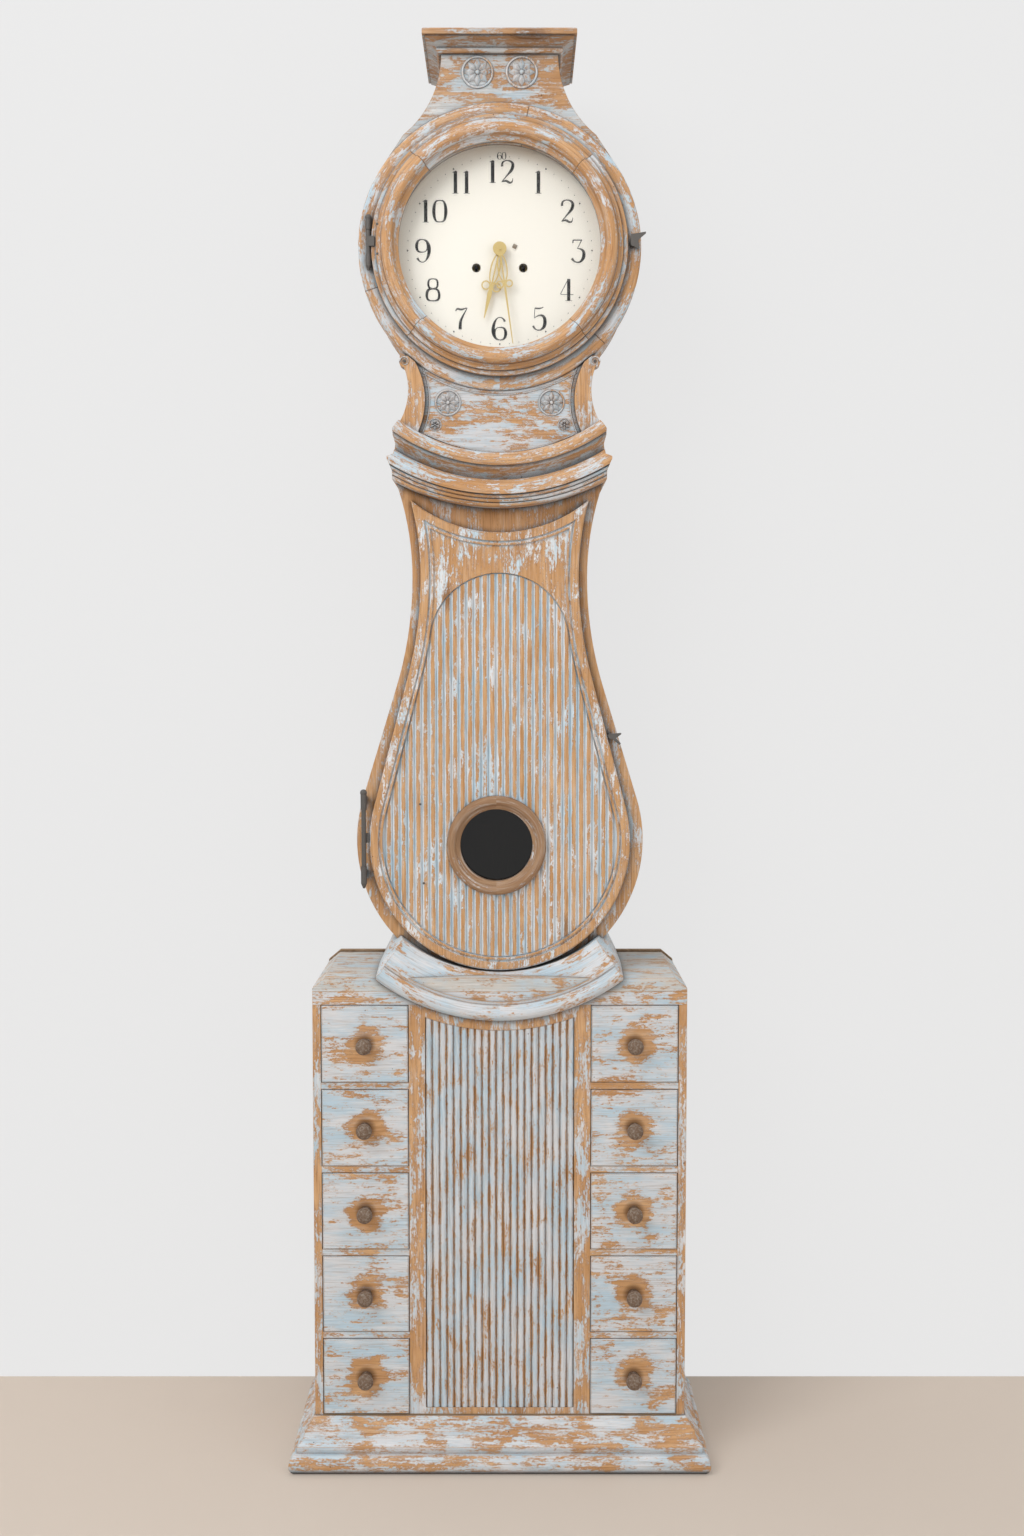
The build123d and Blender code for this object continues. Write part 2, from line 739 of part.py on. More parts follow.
with BuildPart() as collar_moulding:
    with BuildSketch(Plane.YZ):
        with BuildLine():
            Polyline((back_y, collar_arc_centre_z - collar_top_radius), collar_point(0, collar_projection_top),
                     collar_edge)
            ThreePointArc(collar_edge, collar_point(0.6 * collar_shoulder, 0.55 * collar_projection),
                          collar_cove_end)
            Line(collar_cove_end, collar_bead_start)
            ThreePointArc(collar_bead_start,
                          collar_point(collar_height - 0.65 * collar_band_height, collar_projection), collar_lip)
            Polyline(collar_lip, (back_y, collar_arc_centre_z - collar_bottom_radius),
                     (back_y, collar_arc_centre_z - collar_top_radius))
        make_face()
    revolve(axis=turning_axis(0, collar_arc_centre_z))
    add(collar_block.part, mode=Mode.INTERSECT)
    with BuildSketch(at_y(back_y)):
        add(trunk_face(belly_radius + glue_gap, waist_half_width, cabinet_height))
    extrude(amount=trunk_depth, mode=Mode.SUBTRACT)
    with Locations((0, back_y, 0)):
        Box(cabinet_width, cabinet_depth, cabinet_height, align=(Align.CENTER, Align.MAX, Align.MIN),
            mode=Mode.SUBTRACT)
save(collar_moulding, "collar_moulding")

# ------------------------------------------------------------------ trunk
front_board_back = trunk_front + trunk_wall
with BuildPart() as trunk_side_wall:
    with BuildSketch(at_y(inner_back)):
        add(trunk_board_face(belly_radius, waist_half_width, cabinet_height))
        add(trunk_board_face(belly_radius - trunk_wall, waist_half_width - trunk_wall,
                             cabinet_height + trunk_wall), mode=Mode.SUBTRACT)
    extrude(amount=inner_back - front_board_back)
save(trunk_side_wall, "trunk_side_wall")

with BuildPart() as trunk_front_board:
    with BuildSketch(at_y(front_board_back)):
        add(trunk_board_face(belly_radius, waist_half_width, cabinet_height))
        add(door_outline(door_belly_radius - door_overlap, door_waist_half_width - door_overlap,
                         door_top_z - door_overlap), mode=Mode.SUBTRACT)
        with Locations((trunk_latch_x, trunk_latch_z)):
            Circle(latch_spindle_radius + pivot_gap, mode=Mode.SUBTRACT)
    extrude(amount=trunk_wall)
save(trunk_front_board, "trunk_front_board")

with BuildPart() as trunk_back_board:
    with BuildSketch(at_y(back_y)):
        add(trunk_board_face(belly_radius, waist_half_width, cabinet_height))
    extrude(amount=back_board)
save(trunk_back_board, "trunk_back_board")

arch_centre_z = door_top_z - field_arch_drop - field_arch_radius
field_belly = door_belly_radius - door_border_width - field_gap
field_waist = door_waist_half_width - door_border_width - field_gap
reed_count_door = 2 * int(field_belly / reed_pitch_door) + 1
with BuildPart() as door_reeds:
    with BuildSketch(Plane.XY.offset(belly_centre_z - door_belly_radius)):
        with Locations((0, door_face)):
            add(reed_strip(reed_count_door, reed_pitch_door, reed_height_door, door_thickness / 2))
    extrude(amount=door_top_z - belly_centre_z + door_belly_radius)
    with BuildSketch(at_y(door_back)):
        with Locations((0, arch_centre_z)):
            Circle(field_arch_radius - field_gap)
            Rectangle(2 * door_belly_radius, door_top_z, align=(Align.CENTER, Align.MAX))
        add(door_outline(field_belly, field_waist, door_top_z - door_border_width), mode=Mode.INTERSECT)
        with Locations((lenticle_x, lenticle_z)):
            Circle(lenticle_outer_radius + running_gap, mode=Mode.SUBTRACT)
    extrude(amount=door_thickness + door_border_thickness, mode=Mode.INTERSECT)

with BuildPart() as trunk_door:
    groove_edge = door_bead_width + door_groove_width
    with BuildSketch(at_y(door_back)):
        add(door_outline(door_belly_radius, door_waist_half_width, door_top_z))
    extrude(amount=door_thickness)
    with BuildSketch(at_y(door_face)):
        add(door_outline(door_belly_radius, door_waist_half_width, door_top_z))
        add(door_outline(door_belly_radius - door_border_width, door_waist_half_width - door_border_width,
                         door_top_z - door_border_width), mode=Mode.SUBTRACT)
    extrude(amount=door_border_thickness)
    with BuildSketch(at_y(door_border_face)):
        add(door_outline(door_belly_radius - door_bead_width, door_waist_half_width - door_bead_width,
                         door_top_z - door_bead_width))
        add(door_outline(door_belly_radius - groove_edge, door_waist_half_width - groove_edge,
                         door_top_z - groove_edge), mode=Mode.SUBTRACT)
    extrude(amount=-door_groove_depth, mode=Mode.SUBTRACT)
    beads = trunk_door.faces().sort_by(Axis.Y)[0:2]
    chamfer([edge for bead in beads for edge in bead.outer_wire().edges()], door_bead_round)
    with BuildSketch(at_y(door_face)):
        add(door_outline(door_belly_radius - door_border_width, door_waist_half_width - door_border_width,
                         door_top_z - door_border_width))
        with Locations((0, arch_centre_z)):
            Circle(field_arch_radius, mode=Mode.SUBTRACT)
            Rectangle(2 * door_belly_radius, door_top_z, align=(Align.CENTER, Align.MAX), mode=Mode.SUBTRACT)
    extrude(amount=reed_height_door)
    add(door_reeds.part)
    with BuildSketch(at_y(door_back)):
        with Locations((lenticle_x, lenticle_z)):
            Circle(lenticle_spigot_radius + glue_gap)
    extrude(amount=door_thickness + door_border_thickness, mode=Mode.SUBTRACT)
save(trunk_door, "trunk_door")

glass_seat_radius = lenticle_sight_radius + glass_lap
glass_seat_y = door_back - glass_thickness - arris
with BuildPart() as lenticle_ring:
    with BuildSketch(Plane.YZ.offset(lenticle_x)):
        ring_front = door_face - lenticle_projection
        outer_edge = (door_face - quirk, lenticle_z + lenticle_outer_radius)
        inner_edge = (ring_front + lenticle_shoulder / 2, lenticle_z + lenticle_sight_radius + lenticle_lip)
        shoulder = (ring_front + lenticle_shoulder, lenticle_z + lenticle_sight_radius)
        with BuildLine():
            Line((door_face, lenticle_z + lenticle_outer_radius), outer_edge)
            ThreePointArc(outer_edge, (ring_front, lenticle_z + lenticle_outer_radius - lenticle_shoulder),
                          inner_edge)
            Polyline(inner_edge, shoulder, (glass_seat_y, lenticle_z + lenticle_sight_radius),
                     (glass_seat_y, lenticle_z + glass_seat_radius), (door_back, lenticle_z + glass_seat_radius),
                     (door_back, lenticle_z + lenticle_spigot_radius),
                     (door_face, lenticle_z + lenticle_spigot_radius),
                     (door_face, lenticle_z + lenticle_outer_radius))
        make_face()
    revolve(axis=turning_axis(lenticle_x, lenticle_z))
save(lenticle_ring, "lenticle_ring")

with BuildPart() as lenticle_glass:
    with BuildSketch(at_y(glass_seat_y + glass_thickness + glue_gap)):
        with Locations((lenticle_x, lenticle_z)):
            Circle(glass_seat_radius - glue_gap)
    extrude(amount=glass_thickness)
save(lenticle_glass, "lenticle_glass")


# ------------------------------------------------------------------ cornice over the trunk
def cornice_point(down, out):
    """Point of the cornice's section, below its top edge and out from the trunk's face."""
    return (trunk_front - out, cornice_arc_centre_z - cornice_top_radius - down)


cornice_beads_top = cornice_lower_lip + cornice_lip
cornice_bead_height = (cornice_height - cornice_beads_top) / cornice_bead_count
cornice_beads_out = cornice_projection - cornice_lip
cornice_fillet_out = cornice_projection - cornice_ovolo + 2 * arris
with BuildPart() as trunk_cornice:
    with BuildSketch(Plane.YZ):
        back_top = (back_y, cornice_arc_centre_z - cornice_top_radius)
        back_foot = (back_y, cornice_arc_centre_z - cornice_bottom_radius)
        upper_lip = cornice_point(cornice_upper_tier, cornice_projection - cornice_lip)
        cove_start = cornice_point(cornice_cove_start, cornice_fillet_out)
        cove_end = cornice_point(cornice_tier_joint, cornice_projection - cornice_undercut)
        ovolo_start = cornice_point(cornice_tier_joint, cornice_projection - cornice_ovolo)
        with BuildLine():
            Line(back_top, cornice_point(0, cornice_projection - cornice_ovolo))
            ThreePointArc(cornice_point(0, cornice_projection - cornice_ovolo),
                          cornice_point(cornice_upper_tier / 2, cornice_projection - quirk), upper_lip)
            Polyline(upper_lip, cornice_point(cornice_upper_tier, cornice_fillet_out), cove_start)
            ThreePointArc(cove_start,
                          cornice_point((cornice_cove_start + cornice_tier_joint) / 2,
                                        cornice_fillet_out - 0.7 * cornice_ovolo), cove_end)
            Line(cove_end, ovolo_start)
            ThreePointArc(ovolo_start, cornice_point((cornice_tier_joint + cornice_lower_lip) / 2,
                                                     cornice_projection - cornice_lip),
                          cornice_point(cornice_lower_lip, cornice_projection))
            Polyline(cornice_point(cornice_lower_lip, cornice_projection),
                     cornice_point(cornice_beads_top, cornice_projection),
                     cornice_point(cornice_beads_top, cornice_beads_out))
            for i in range(cornice_bead_count):
                level = cornice_beads_top + i * cornice_bead_height
                face = cornice_beads_out - i * cornice_bead_step
                ThreePointArc(cornice_point(level, face),
                              cornice_point(level + cornice_bead_height / 2, face + 1),
                              cornice_point(level + cornice_bead_height, face - cornice_bead_step))
            foot_out = cornice_beads_out - cornice_bead_count * cornice_bead_step
            Polyline(cornice_point(cornice_height, foot_out), back_foot, back_top)
        make_face()
    revolve(axis=turning_axis(0, cornice_arc_centre_z))
    with BuildSketch(at_y(back_y)):
        tip_radius = cornice_top_radius + cornice_lower_lip
        tip_z = cornice_arc_centre_z - sqrt(tip_radius**2 - cornice_lower_half_width**2)
        with BuildLine():
            Polyline((0, tip_z - cornice_height), (cornice_foot_half_width, tip_z - cornice_height),
                     (cornice_foot_half_width, tip_z - cornice_foot_drop),
                     (cornice_lower_half_width - arris, tip_z - cornice_lip), (cornice_lower_half_width, tip_z),
                     (cornice_lower_half_width, tip_z + cornice_lip),
                     (cornice_throat_half_width + arris, tip_z + 2 * cornice_lip),
                     (cornice_throat_half_width, tip_z + cornice_throat_rise),
                     (cornice_upper_half_width, tip_z + cornice_upper_rise),
                     (cornice_upper_half_width, tip_z + cornice_shoulder_rise),
                     (cornice_head_half_width, tip_z + cornice_head_rise),
                     (cornice_head_half_width, tip_z + 2 * cornice_height), (0, tip_z + 2 * cornice_height))
            mirror(about=Plane.YZ)
        make_face()
    extrude(amount=back_y - trunk_front + cornice_projection + 1, mode=Mode.INTERSECT)
    with BuildSketch(at_y(back_y)):
        with Locations((0, cornice_arc_centre_z)):
            Rectangle(2 * (neck_half_width - board), 2 * cornice_bottom_radius)
    extrude(amount=back_y - front_board_back, mode=Mode.SUBTRACT)
save(trunk_cornice, "trunk_cornice")

# ------------------------------------------------------------------ neck between trunk and hood
neck_hollow_x = neck_waist_half_width + neck_hollow_radius
neck_hollow_z = trunk_head_z + neck_hollow_rise
with BuildPart() as neck_panel:
    with BuildSketch(at_y(panel_back)):
        with Locations((0, cornice_arc_centre_z)):
            Circle(cornice_top_radius - glue_gap)
        with Locations((0, neck_hollow_z)):
            Rectangle(2 * neck_panel_half_width, 2 * neck_hollow_radius, mode=Mode.INTERSECT)
        with Locations((-neck_hollow_x, neck_hollow_z), (neck_hollow_x, neck_hollow_z)):
            Circle(neck_hollow_radius + glue_gap, mode=Mode.SUBTRACT)
        with Locations((0, hood_centre_z)):
            Circle(hood_ring_radius + glue_gap, mode=Mode.SUBTRACT)
    extrude(amount=panel_back - neck_front)
save(neck_panel, "neck_panel")

with BuildPart() as neck_scrolls:
    with BuildSketch(at_y(panel_back)):
        with Locations((neck_hollow_x, neck_hollow_z)):
            Circle(neck_hollow_radius)
        with Locations((0, cornice_arc_centre_z - cornice_top_radius)):
            Rectangle(2 * scroll_half_width, trunk_head_z + scroll_head_rise - cornice_arc_centre_z
                      + cornice_top_radius + scroll_head_radius, align=(Align.CENTER, Align.MIN),
                      mode=Mode.INTERSECT)
        with Locations((scroll_waist_half_width + scroll_hollow_radius, trunk_head_z + scroll_hollow_rise)):
            Circle(scroll_hollow_radius, mode=Mode.SUBTRACT)
        with Locations((scroll_head_x, trunk_head_z + scroll_head_rise)):
            Circle(scroll_head_radius)
        with Locations((0, cornice_arc_centre_z)):
            Circle(cornice_top_radius - glue_gap, mode=Mode.INTERSECT)
        with Locations((0, hood_centre_z)):
            Circle(hood_ring_radius + glue_gap, mode=Mode.SUBTRACT)
    extrude(amount=scroll_depth)
    mirror(about=Plane.YZ)
save(neck_scrolls, "neck_scrolls")

with BuildPart() as neck_cheeks:
    with BuildSketch(at_y(inner_back)):
        with Locations((0, cornice_arc_centre_z)):
            Circle(cornice_top_radius - glue_gap)
        with Locations((0, seat_board_z)):
            Rectangle(2 * neck_half_width, 2 * cornice_top_radius, align=(Align.CENTER, Align.MAX),
                      mode=Mode.INTERSECT)
            Rectangle(2 * (neck_half_width - board), 2 * cornice_top_radius, align=(Align.CENTER, Align.MAX),
                      mode=Mode.SUBTRACT)
    extrude(amount=inner_back - dial_front - dial_thickness - glue_gap)
save(neck_cheeks, "neck_cheeks")

# ------------------------------------------------------------------ hood
with BuildPart() as hood_drum:
    with BuildSketch(at_y(inner_back)):
        with Locations((0, hood_centre_z)):
            Circle(drum_radius)
            Circle(drum_radius - drum_wall, mode=Mode.SUBTRACT)
            Rectangle(2 * (neck_half_width + glue_gap), 2 * drum_radius, align=(Align.CENTER, Align.MAX),
                      mode=Mode.SUBTRACT)
    extrude(amount=inner_back - panel_back)
save(hood_drum, "hood_drum")

with BuildPart() as hood_front_ring:
    with BuildSketch(at_y(dial_front)):
        with Locations((0, hood_centre_z)):
            Circle(hood_ring_radius)
            Circle(hood_ring_bore, mode=Mode.SUBTRACT)
    extrude(amount=hood_ring_thickness)
    fillet(hood_front_ring.faces().sort_by(Axis.Y)[0].outer_wire().edges(), hood_ring_round)
    with BuildSketch(at_y(hood_front)):
        with Locations((bezel_latch_x, bezel_latch_z)):
            Circle(latch_spindle_radius + pivot_gap)
    extrude(amount=-hood_ring_thickness / 2, mode=Mode.SUBTRACT)
save(hood_front_ring, "hood_front_ring")

with BuildPart() as hood_back_board:
    with BuildSketch(at_y(back_y)):
        with Locations((0, cornice_arc_centre_z)):
            Rectangle(2 * (neck_half_width - board - glue_gap), 2 * cornice_bottom_radius)
            Circle(cornice_bottom_radius, mode=Mode.INTERSECT)
        with Locations((0, hood_centre_z)):
            Rectangle(2 * cornice_bottom_radius, 2 * cornice_bottom_radius, align=(Align.CENTER, Align.MIN),
                      mode=Mode.SUBTRACT)
            Circle(drum_radius)
        add(crown_face(0, crown_top_z))
    extrude(amount=back_board)
save(hood_back_board, "hood_back_board")

with BuildPart() as crown_neck:
    with BuildSketch(at_y(panel_back)):
        add(crown_face(0, crown_top_z))
        with Locations((0, hood_centre_z)):
            Circle(hood_ring_radius + glue_gap, mode=Mode.SUBTRACT)
    extrude(amount=panel_back - neck_front)
    with BuildSketch(at_y(inner_back)):
        add(crown_face(0, crown_top_z))
        add(crown_face(board, crown_top_z), mode=Mode.SUBTRACT)
        with Locations((0, hood_centre_z)):
            Circle(drum_radius + glue_gap, mode=Mode.SUBTRACT)
    extrude(amount=inner_back - panel_back)
save(crown_neck, "crown_neck")

with BuildSketch() as crown_section:
    with BuildLine():
        shelf_x = crown_projection - 2 * arris
        bead_x = crown_bead_projection - 1
        bead_top = (bead_x, crown_eaves_z + crown_bead_height)
        Line((0, crown_eaves_z), (bead_x - 1, crown_eaves_z))
        ThreePointArc((bead_x - 1, crown_eaves_z), (bead_x + arris, crown_eaves_z + crown_bead_height / 2), bead_top)
        ThreePointArc(bead_top, (bead_x + crown_bead_height, crown_top_z - 2 * arris - 1),
                      (shelf_x, crown_top_z - arris))
        Polyline((shelf_x, crown_top_z - arris), (shelf_x, crown_top_z), (crown_projection, crown_top_z),
                 (crown_projection, clock_height - arris), (crown_projection - arris, clock_height),
                 (0, clock_height), (0, crown_eaves_z))
    make_face()

crown_cornice = moulded_run(crown_section.sketch, crown_half_width, neck_front)
with crown_cornice:
    with Locations((0, back_y, clock_height)):
        Box(2 * crown_half_width, neck_depth, crown_fillet_height, align=(Align.CENTER, Align.MAX, Align.MAX))
save(crown_cornice, "crown_cornice")

# ------------------------------------------------------------------ bezel
bezel_back = hood_front - running_gap
bezel_front = bezel_back - bezel_thickness
bezel_land_y = bezel_back - bezel_land_height
bezel_land_radius = bezel_outer_radius - bezel_land_width
bezel_seat_y = bezel_back - glass_thickness - bezel_glass_rest
bezel_seat_radius = bezel_sight_radius + glass_lap


def bezel_point(radius, y):
    """Point of the bezel's section, by its radius from the middle of the dial."""
    return (y, hood_centre_z + radius)


with BuildPart() as bezel_ring:
    with BuildSketch(Plane.YZ):
        cove_radius = bezel_land_radius - bezel_cove
        crest = cove_radius - bezel_torus - 1
        cove_y = bezel_land_y - bezel_land_height
        cove_start = bezel_point(bezel_land_radius, bezel_land_y - quirk)
        cove_end = bezel_point(cove_radius, cove_y)
        torus_start = bezel_point(crest + bezel_torus, cove_y)
        torus_end = bezel_point(crest - bezel_torus, bezel_front + 2 * quirk)
        with BuildLine():
            Polyline(bezel_point(bezel_outer_radius, bezel_back), bezel_point(bezel_outer_radius, bezel_land_y),
                     bezel_point(bezel_land_radius, bezel_land_y), cove_start)
            ThreePointArc(cove_start, bezel_point(bezel_land_radius - 0.64 * bezel_cove, bezel_land_y - 5),
                          cove_end)
            Line(cove_end, torus_start)
            ThreePointArc(torus_start, bezel_point(crest, bezel_front), torus_end)
            Polyline(torus_end, bezel_point(crest - bezel_torus - 0.5, bezel_front + 3 * quirk),
                     bezel_point(bezel_sight_radius + arris, bezel_front + bezel_sight_slope - 1),
                     bezel_point(bezel_sight_radius, bezel_front + bezel_sight_slope),
                     bezel_point(bezel_sight_radius, bezel_seat_y), bezel_point(bezel_seat_radius, bezel_seat_y),
                     bezel_point(bezel_seat_radius, bezel_back), bezel_point(bezel_outer_radius, bezel_back))
        make_face()
    revolve(axis=turning_axis(0, hood_centre_z))
save(bezel_ring, "bezel_ring")

with BuildPart() as bezel_glass:
    with BuildSketch(at_y(bezel_seat_y + glass_thickness + glue_gap)):
        with Locations((0, hood_centre_z)):
            Circle(bezel_seat_radius - glue_gap)
    extrude(amount=glass_thickness)
save(bezel_glass, "bezel_glass")


# ------------------------------------------------------------------ ironwork
def hinge_fixed_half(x, y, foot_z, length, knuckle, radius, wall_y):
    """Pin with its upper and lower knuckles and the spikes that hold them to the case."""
    with BuildPart() as half:
        with BuildSketch(Plane.XY.offset(foot_z)):
            with Locations((x, y)):
                Circle(hinge_pin_radius)
        extrude(amount=length)
        for bottom in (foot_z, foot_z + length - knuckle):
            with BuildSketch(Plane.XY.offset(bottom)):
                with Locations((x, y)):
                    Circle(radius)
            extrude(amount=knuckle)
            with Locations((x, y, bottom + knuckle / 2)):
                Box(1.2 * radius, wall_y - y, knuckle / 2, align=(Align.CENTER, Align.MIN, Align.CENTER))
        with Locations((x, y, foot_z + length)):
            Sphere(1.15 * radius)
        with Locations((x, y, foot_z)):
            Cone(radius / 3, radius, 1.6 * radius, align=(Align.CENTER, Align.CENTER, Align.MAX))
    return half


trunk_hinge_y = trunk_front - trunk_hinge_reach
trunk_hinge_foot = belly_centre_z + trunk_hinge_rise - trunk_hinge_length / 2
save(hinge_fixed_half(trunk_hinge_x, trunk_hinge_y, trunk_hinge_foot, trunk_hinge_length, trunk_knuckle_length,
                      trunk_knuckle_radius, trunk_front), "trunk_hinge_pintle")

bezel_hinge_y = hood_front - bezel_hinge_reach
bezel_hinge_foot = hood_centre_z + bezel_hinge_rise - bezel_hinge_length / 2
save(hinge_fixed_half(bezel_hinge_x, bezel_hinge_y, bezel_hinge_foot, bezel_hinge_length, bezel_knuckle_length,
                      bezel_knuckle_radius, hood_front), "bezel_hinge_pintle")

with BuildPart() as trunk_hinge_leaf:
    add(hinge_knuckle(trunk_hinge_x, trunk_hinge_y, trunk_hinge_foot + trunk_knuckle_length + running_gap,
                      trunk_hinge_foot + trunk_hinge_length - trunk_knuckle_length - running_gap,
                      trunk_knuckle_radius - hinge_waist, hinge_pin_radius + pivot_gap))
    with Locations((trunk_hinge_x, trunk_hinge_y + hinge_pin_radius + 2 * pivot_gap,
                    belly_centre_z + trunk_hinge_rise)):
        Box(trunk_hinge_reach, 2 * hinge_strap, hinge_strap_height, align=(Align.MIN, Align.MIN, Align.CENTER))
    with BuildSketch(at_y(back_y)):
        with Locations((0, belly_centre_z)):
            Circle(door_belly_radius + glue_gap)
    extrude(amount=back_y - trunk_hinge_y + trunk_hinge_reach, mode=Mode.SUBTRACT)
save(trunk_hinge_leaf, "trunk_hinge_leaf")

with BuildPart() as bezel_hinge_leaf:
    add(hinge_knuckle(bezel_hinge_x, bezel_hinge_y, bezel_hinge_foot + bezel_knuckle_length + running_gap,
                      bezel_hinge_foot + bezel_hinge_length - bezel_knuckle_length - running_gap,
                      bezel_knuckle_radius - hinge_waist, hinge_pin_radius + pivot_gap))
    with Locations((bezel_hinge_x, bezel_land_y, hood_centre_z + bezel_hinge_rise)):
        Box(-bezel_hinge_x - bezel_land_radius - arris, hinge_strap, hinge_strap_height,
            align=(Align.MIN, Align.MAX, Align.CENTER))
save(bezel_hinge_leaf, "bezel_hinge_leaf")


def turn_button(x, z, wall_y, spindle, blade_y, head, horn, prong):
    """Turn button on a spindle, with a horn above and a shorter prong below."""
    fork = ((horn[0] + prong[0]) / 4, (horn[1] + prong[1]) / 2)
    with BuildPart() as button:
        with BuildSketch(at_y(wall_y + spindle)):
            with Locations((x, z)):
                Circle(latch_spindle_radius)
        extrude(amount=spindle + running_gap)
        with BuildSketch(at_y(wall_y - running_gap)):
            with Locations((x, z)):
                Circle(latch_boss_radius)
        extrude(amount=wall_y - running_gap - blade_y)
        with BuildSketch(at_y(blade_y)):
            with Locations((x, z)):
                Circle(latch_boss_radius)
                Polygon((-latch_boss_radius, 0), head, horn, (horn[0], horn[1] - arris), fork, prong,
                        (prong[0] - arris, prong[1] - arris), align=None)
        extrude(amount=latch_blade)
    return button


save(turn_button(bezel_latch_x, bezel_latch_z, hood_front, hood_ring_thickness / 2 - running_gap,
                 bezel_land_y - running_gap, bezel_latch_head, bezel_latch_horn, bezel_latch_prong), "bezel_latch")
save(turn_button(trunk_latch_x, trunk_latch_z, trunk_front, trunk_wall - running_gap,
                 door_border_face - running_gap, trunk_latch_head, trunk_latch_horn, trunk_latch_prong),
     "trunk_latch")

# ------------------------------------------------------------------ dial and hands
with BuildPart() as dial:
    with BuildSketch(at_y(dial_front + dial_thickness)):
        with Locations((0, hood_centre_z)):
            Circle(dial_radius)
            Circle(hour_pipe_radius + 1, mode=Mode.SUBTRACT)
        with Locations((-barrel_x, barrel_z), (barrel_x, barrel_z)):
            Circle(winding_hole_radius, mode=Mode.SUBTRACT)
        with Locations((dial_stud_x, hood_centre_z + dial_stud_rise)):
            Rectangle(dial_stud_width, dial_stud_width, mode=Mode.SUBTRACT)
    extrude(amount=dial_thickness)
    with BuildSketch(at_y(front_plate_y)):
        with Locations((0, hood_centre_z)):
            with GridLocations(2 * dial_foot_spread, 2 * dial_foot_spread, 2, 2):
                Circle(dial_foot_radius)
    extrude(amount=front_plate_y - dial_front - dial_thickness)
save(dial, "dial")


def hand_outline(length, boss, lyre_end, scroll_x, scroll_y, scroll, leaf_width, leaf_y):
    """Pierced clock hand pointing to twelve: boss, lyre, two scroll rings and a leaf-shaped blade."""
    with BuildSketch() as rings:
        with Locations((-scroll_x, scroll_y), (scroll_x, scroll_y)):
            Circle(scroll)
            Circle(scroll - hand_band, mode=Mode.SUBTRACT)
    with BuildSketch() as lyre:
        with Locations((0, (boss + lyre_end) / 2)):
            Ellipse(lyre_half_width, (lyre_end - boss) / 2 + hand_band)
            Ellipse(lyre_half_width - hand_band, (lyre_end - boss) / 2, mode=Mode.SUBTRACT)
    with BuildSketch() as outline:
        Circle(boss)
        Rectangle(hand_band, lyre_end, align=(Align.CENTER, Align.MIN))
        add(lyre.sketch)
        add(rings.sketch)
        with BuildLine():
            Polyline((-hand_band / 2, lyre_end), (-leaf_width / 2, leaf_y), (-hand_tip / 2, length),
                     (hand_tip / 2, length), (leaf_width / 2, leaf_y), (hand_band / 2, lyre_end), close=True)
        make_face()
    return outline.sketch


hour_hand_y = dial_front - hour_hand_gap
minute_hand_y = hour_hand_y - hand_thickness - hand_gap
with BuildPart() as hour_hand:
    with BuildSketch(at_y(hour_hand_y)):
        with Locations((0, hood_centre_z)):
            add(hand_outline(hour_hand_length, hour_boss_radius, hour_lyre_end, hour_scroll_x, hour_scroll_y,
                             hour_scroll_radius, hour_leaf_width, hour_leaf_y), rotation=-hour_hand_angle)
            Circle(hands_arbor_radius + pivot_gap, mode=Mode.SUBTRACT)
    extrude(amount=hand_thickness)
    with BuildSketch(at_y(front_plate_y - running_gap)):
        with Locations((0, hood_centre_z)):
            Circle(hour_pipe_radius)
            Circle(hands_arbor_radius + pivot_gap, mode=Mode.SUBTRACT)
    extrude(amount=front_plate_y - running_gap - hour_hand_y)
save(hour_hand, "hour_hand")

with BuildPart() as minute_hand:
    with BuildSketch(at_y(minute_hand_y)):
        with Locations((0, hood_centre_z)):
            add(hand_outline(minute_hand_length, minute_boss_radius, minute_lyre_end, minute_scroll_x,
                             minute_scroll_y, minute_scroll_radius, minute_leaf_width, minute_leaf_y),
                rotation=-minute_hand_angle)
    extrude(amount=hand_thickness)
    with BuildSketch(at_y(front_plate_y + plate_thickness)):
        with Locations((0, hood_centre_z)):
            Circle(hands_arbor_radius)
    extrude(amount=front_plate_y + plate_thickness - minute_hand_y + hand_thickness + 2)
save(minute_hand, "minute_hand")

# ------------------------------------------------------------------ movement
line_in_x = barrel_x - drum_line_radius - line_radius - running_gap / 2
pulley_x = (line_in_x + line_stud_x) / 2
pulley_radius = (line_stud_x - line_in_x) / 2 - line_radius
pulley_rest_z = weight_rest_z + weight_height + stirrup_height
cock_y = back_plate_y + cock_reach
rod_y = cock_y - arris
pillar_foot_z = seat_top_z + 3 * pillar_radius
pillar_head_z = plate_top_z - 2.5 * pillar_radius
line_stud_back = line_y + line_stud_reach

with BuildPart() as seat_board:
    with BuildSketch(Plane.XY.offset(seat_board_z)):
        with Locations((0, line_y)):
            Rectangle(2 * neck_half_width + board, plate_gap + 6 * plate_thickness)
            with Locations((-pulley_x, 0), (pulley_x, 0)):
                Rectangle(line_stud_x - line_in_x + 4 * line_radius, board, mode=Mode.SUBTRACT)
    extrude(amount=seat_board_thickness)
save(seat_board, "seat_board")

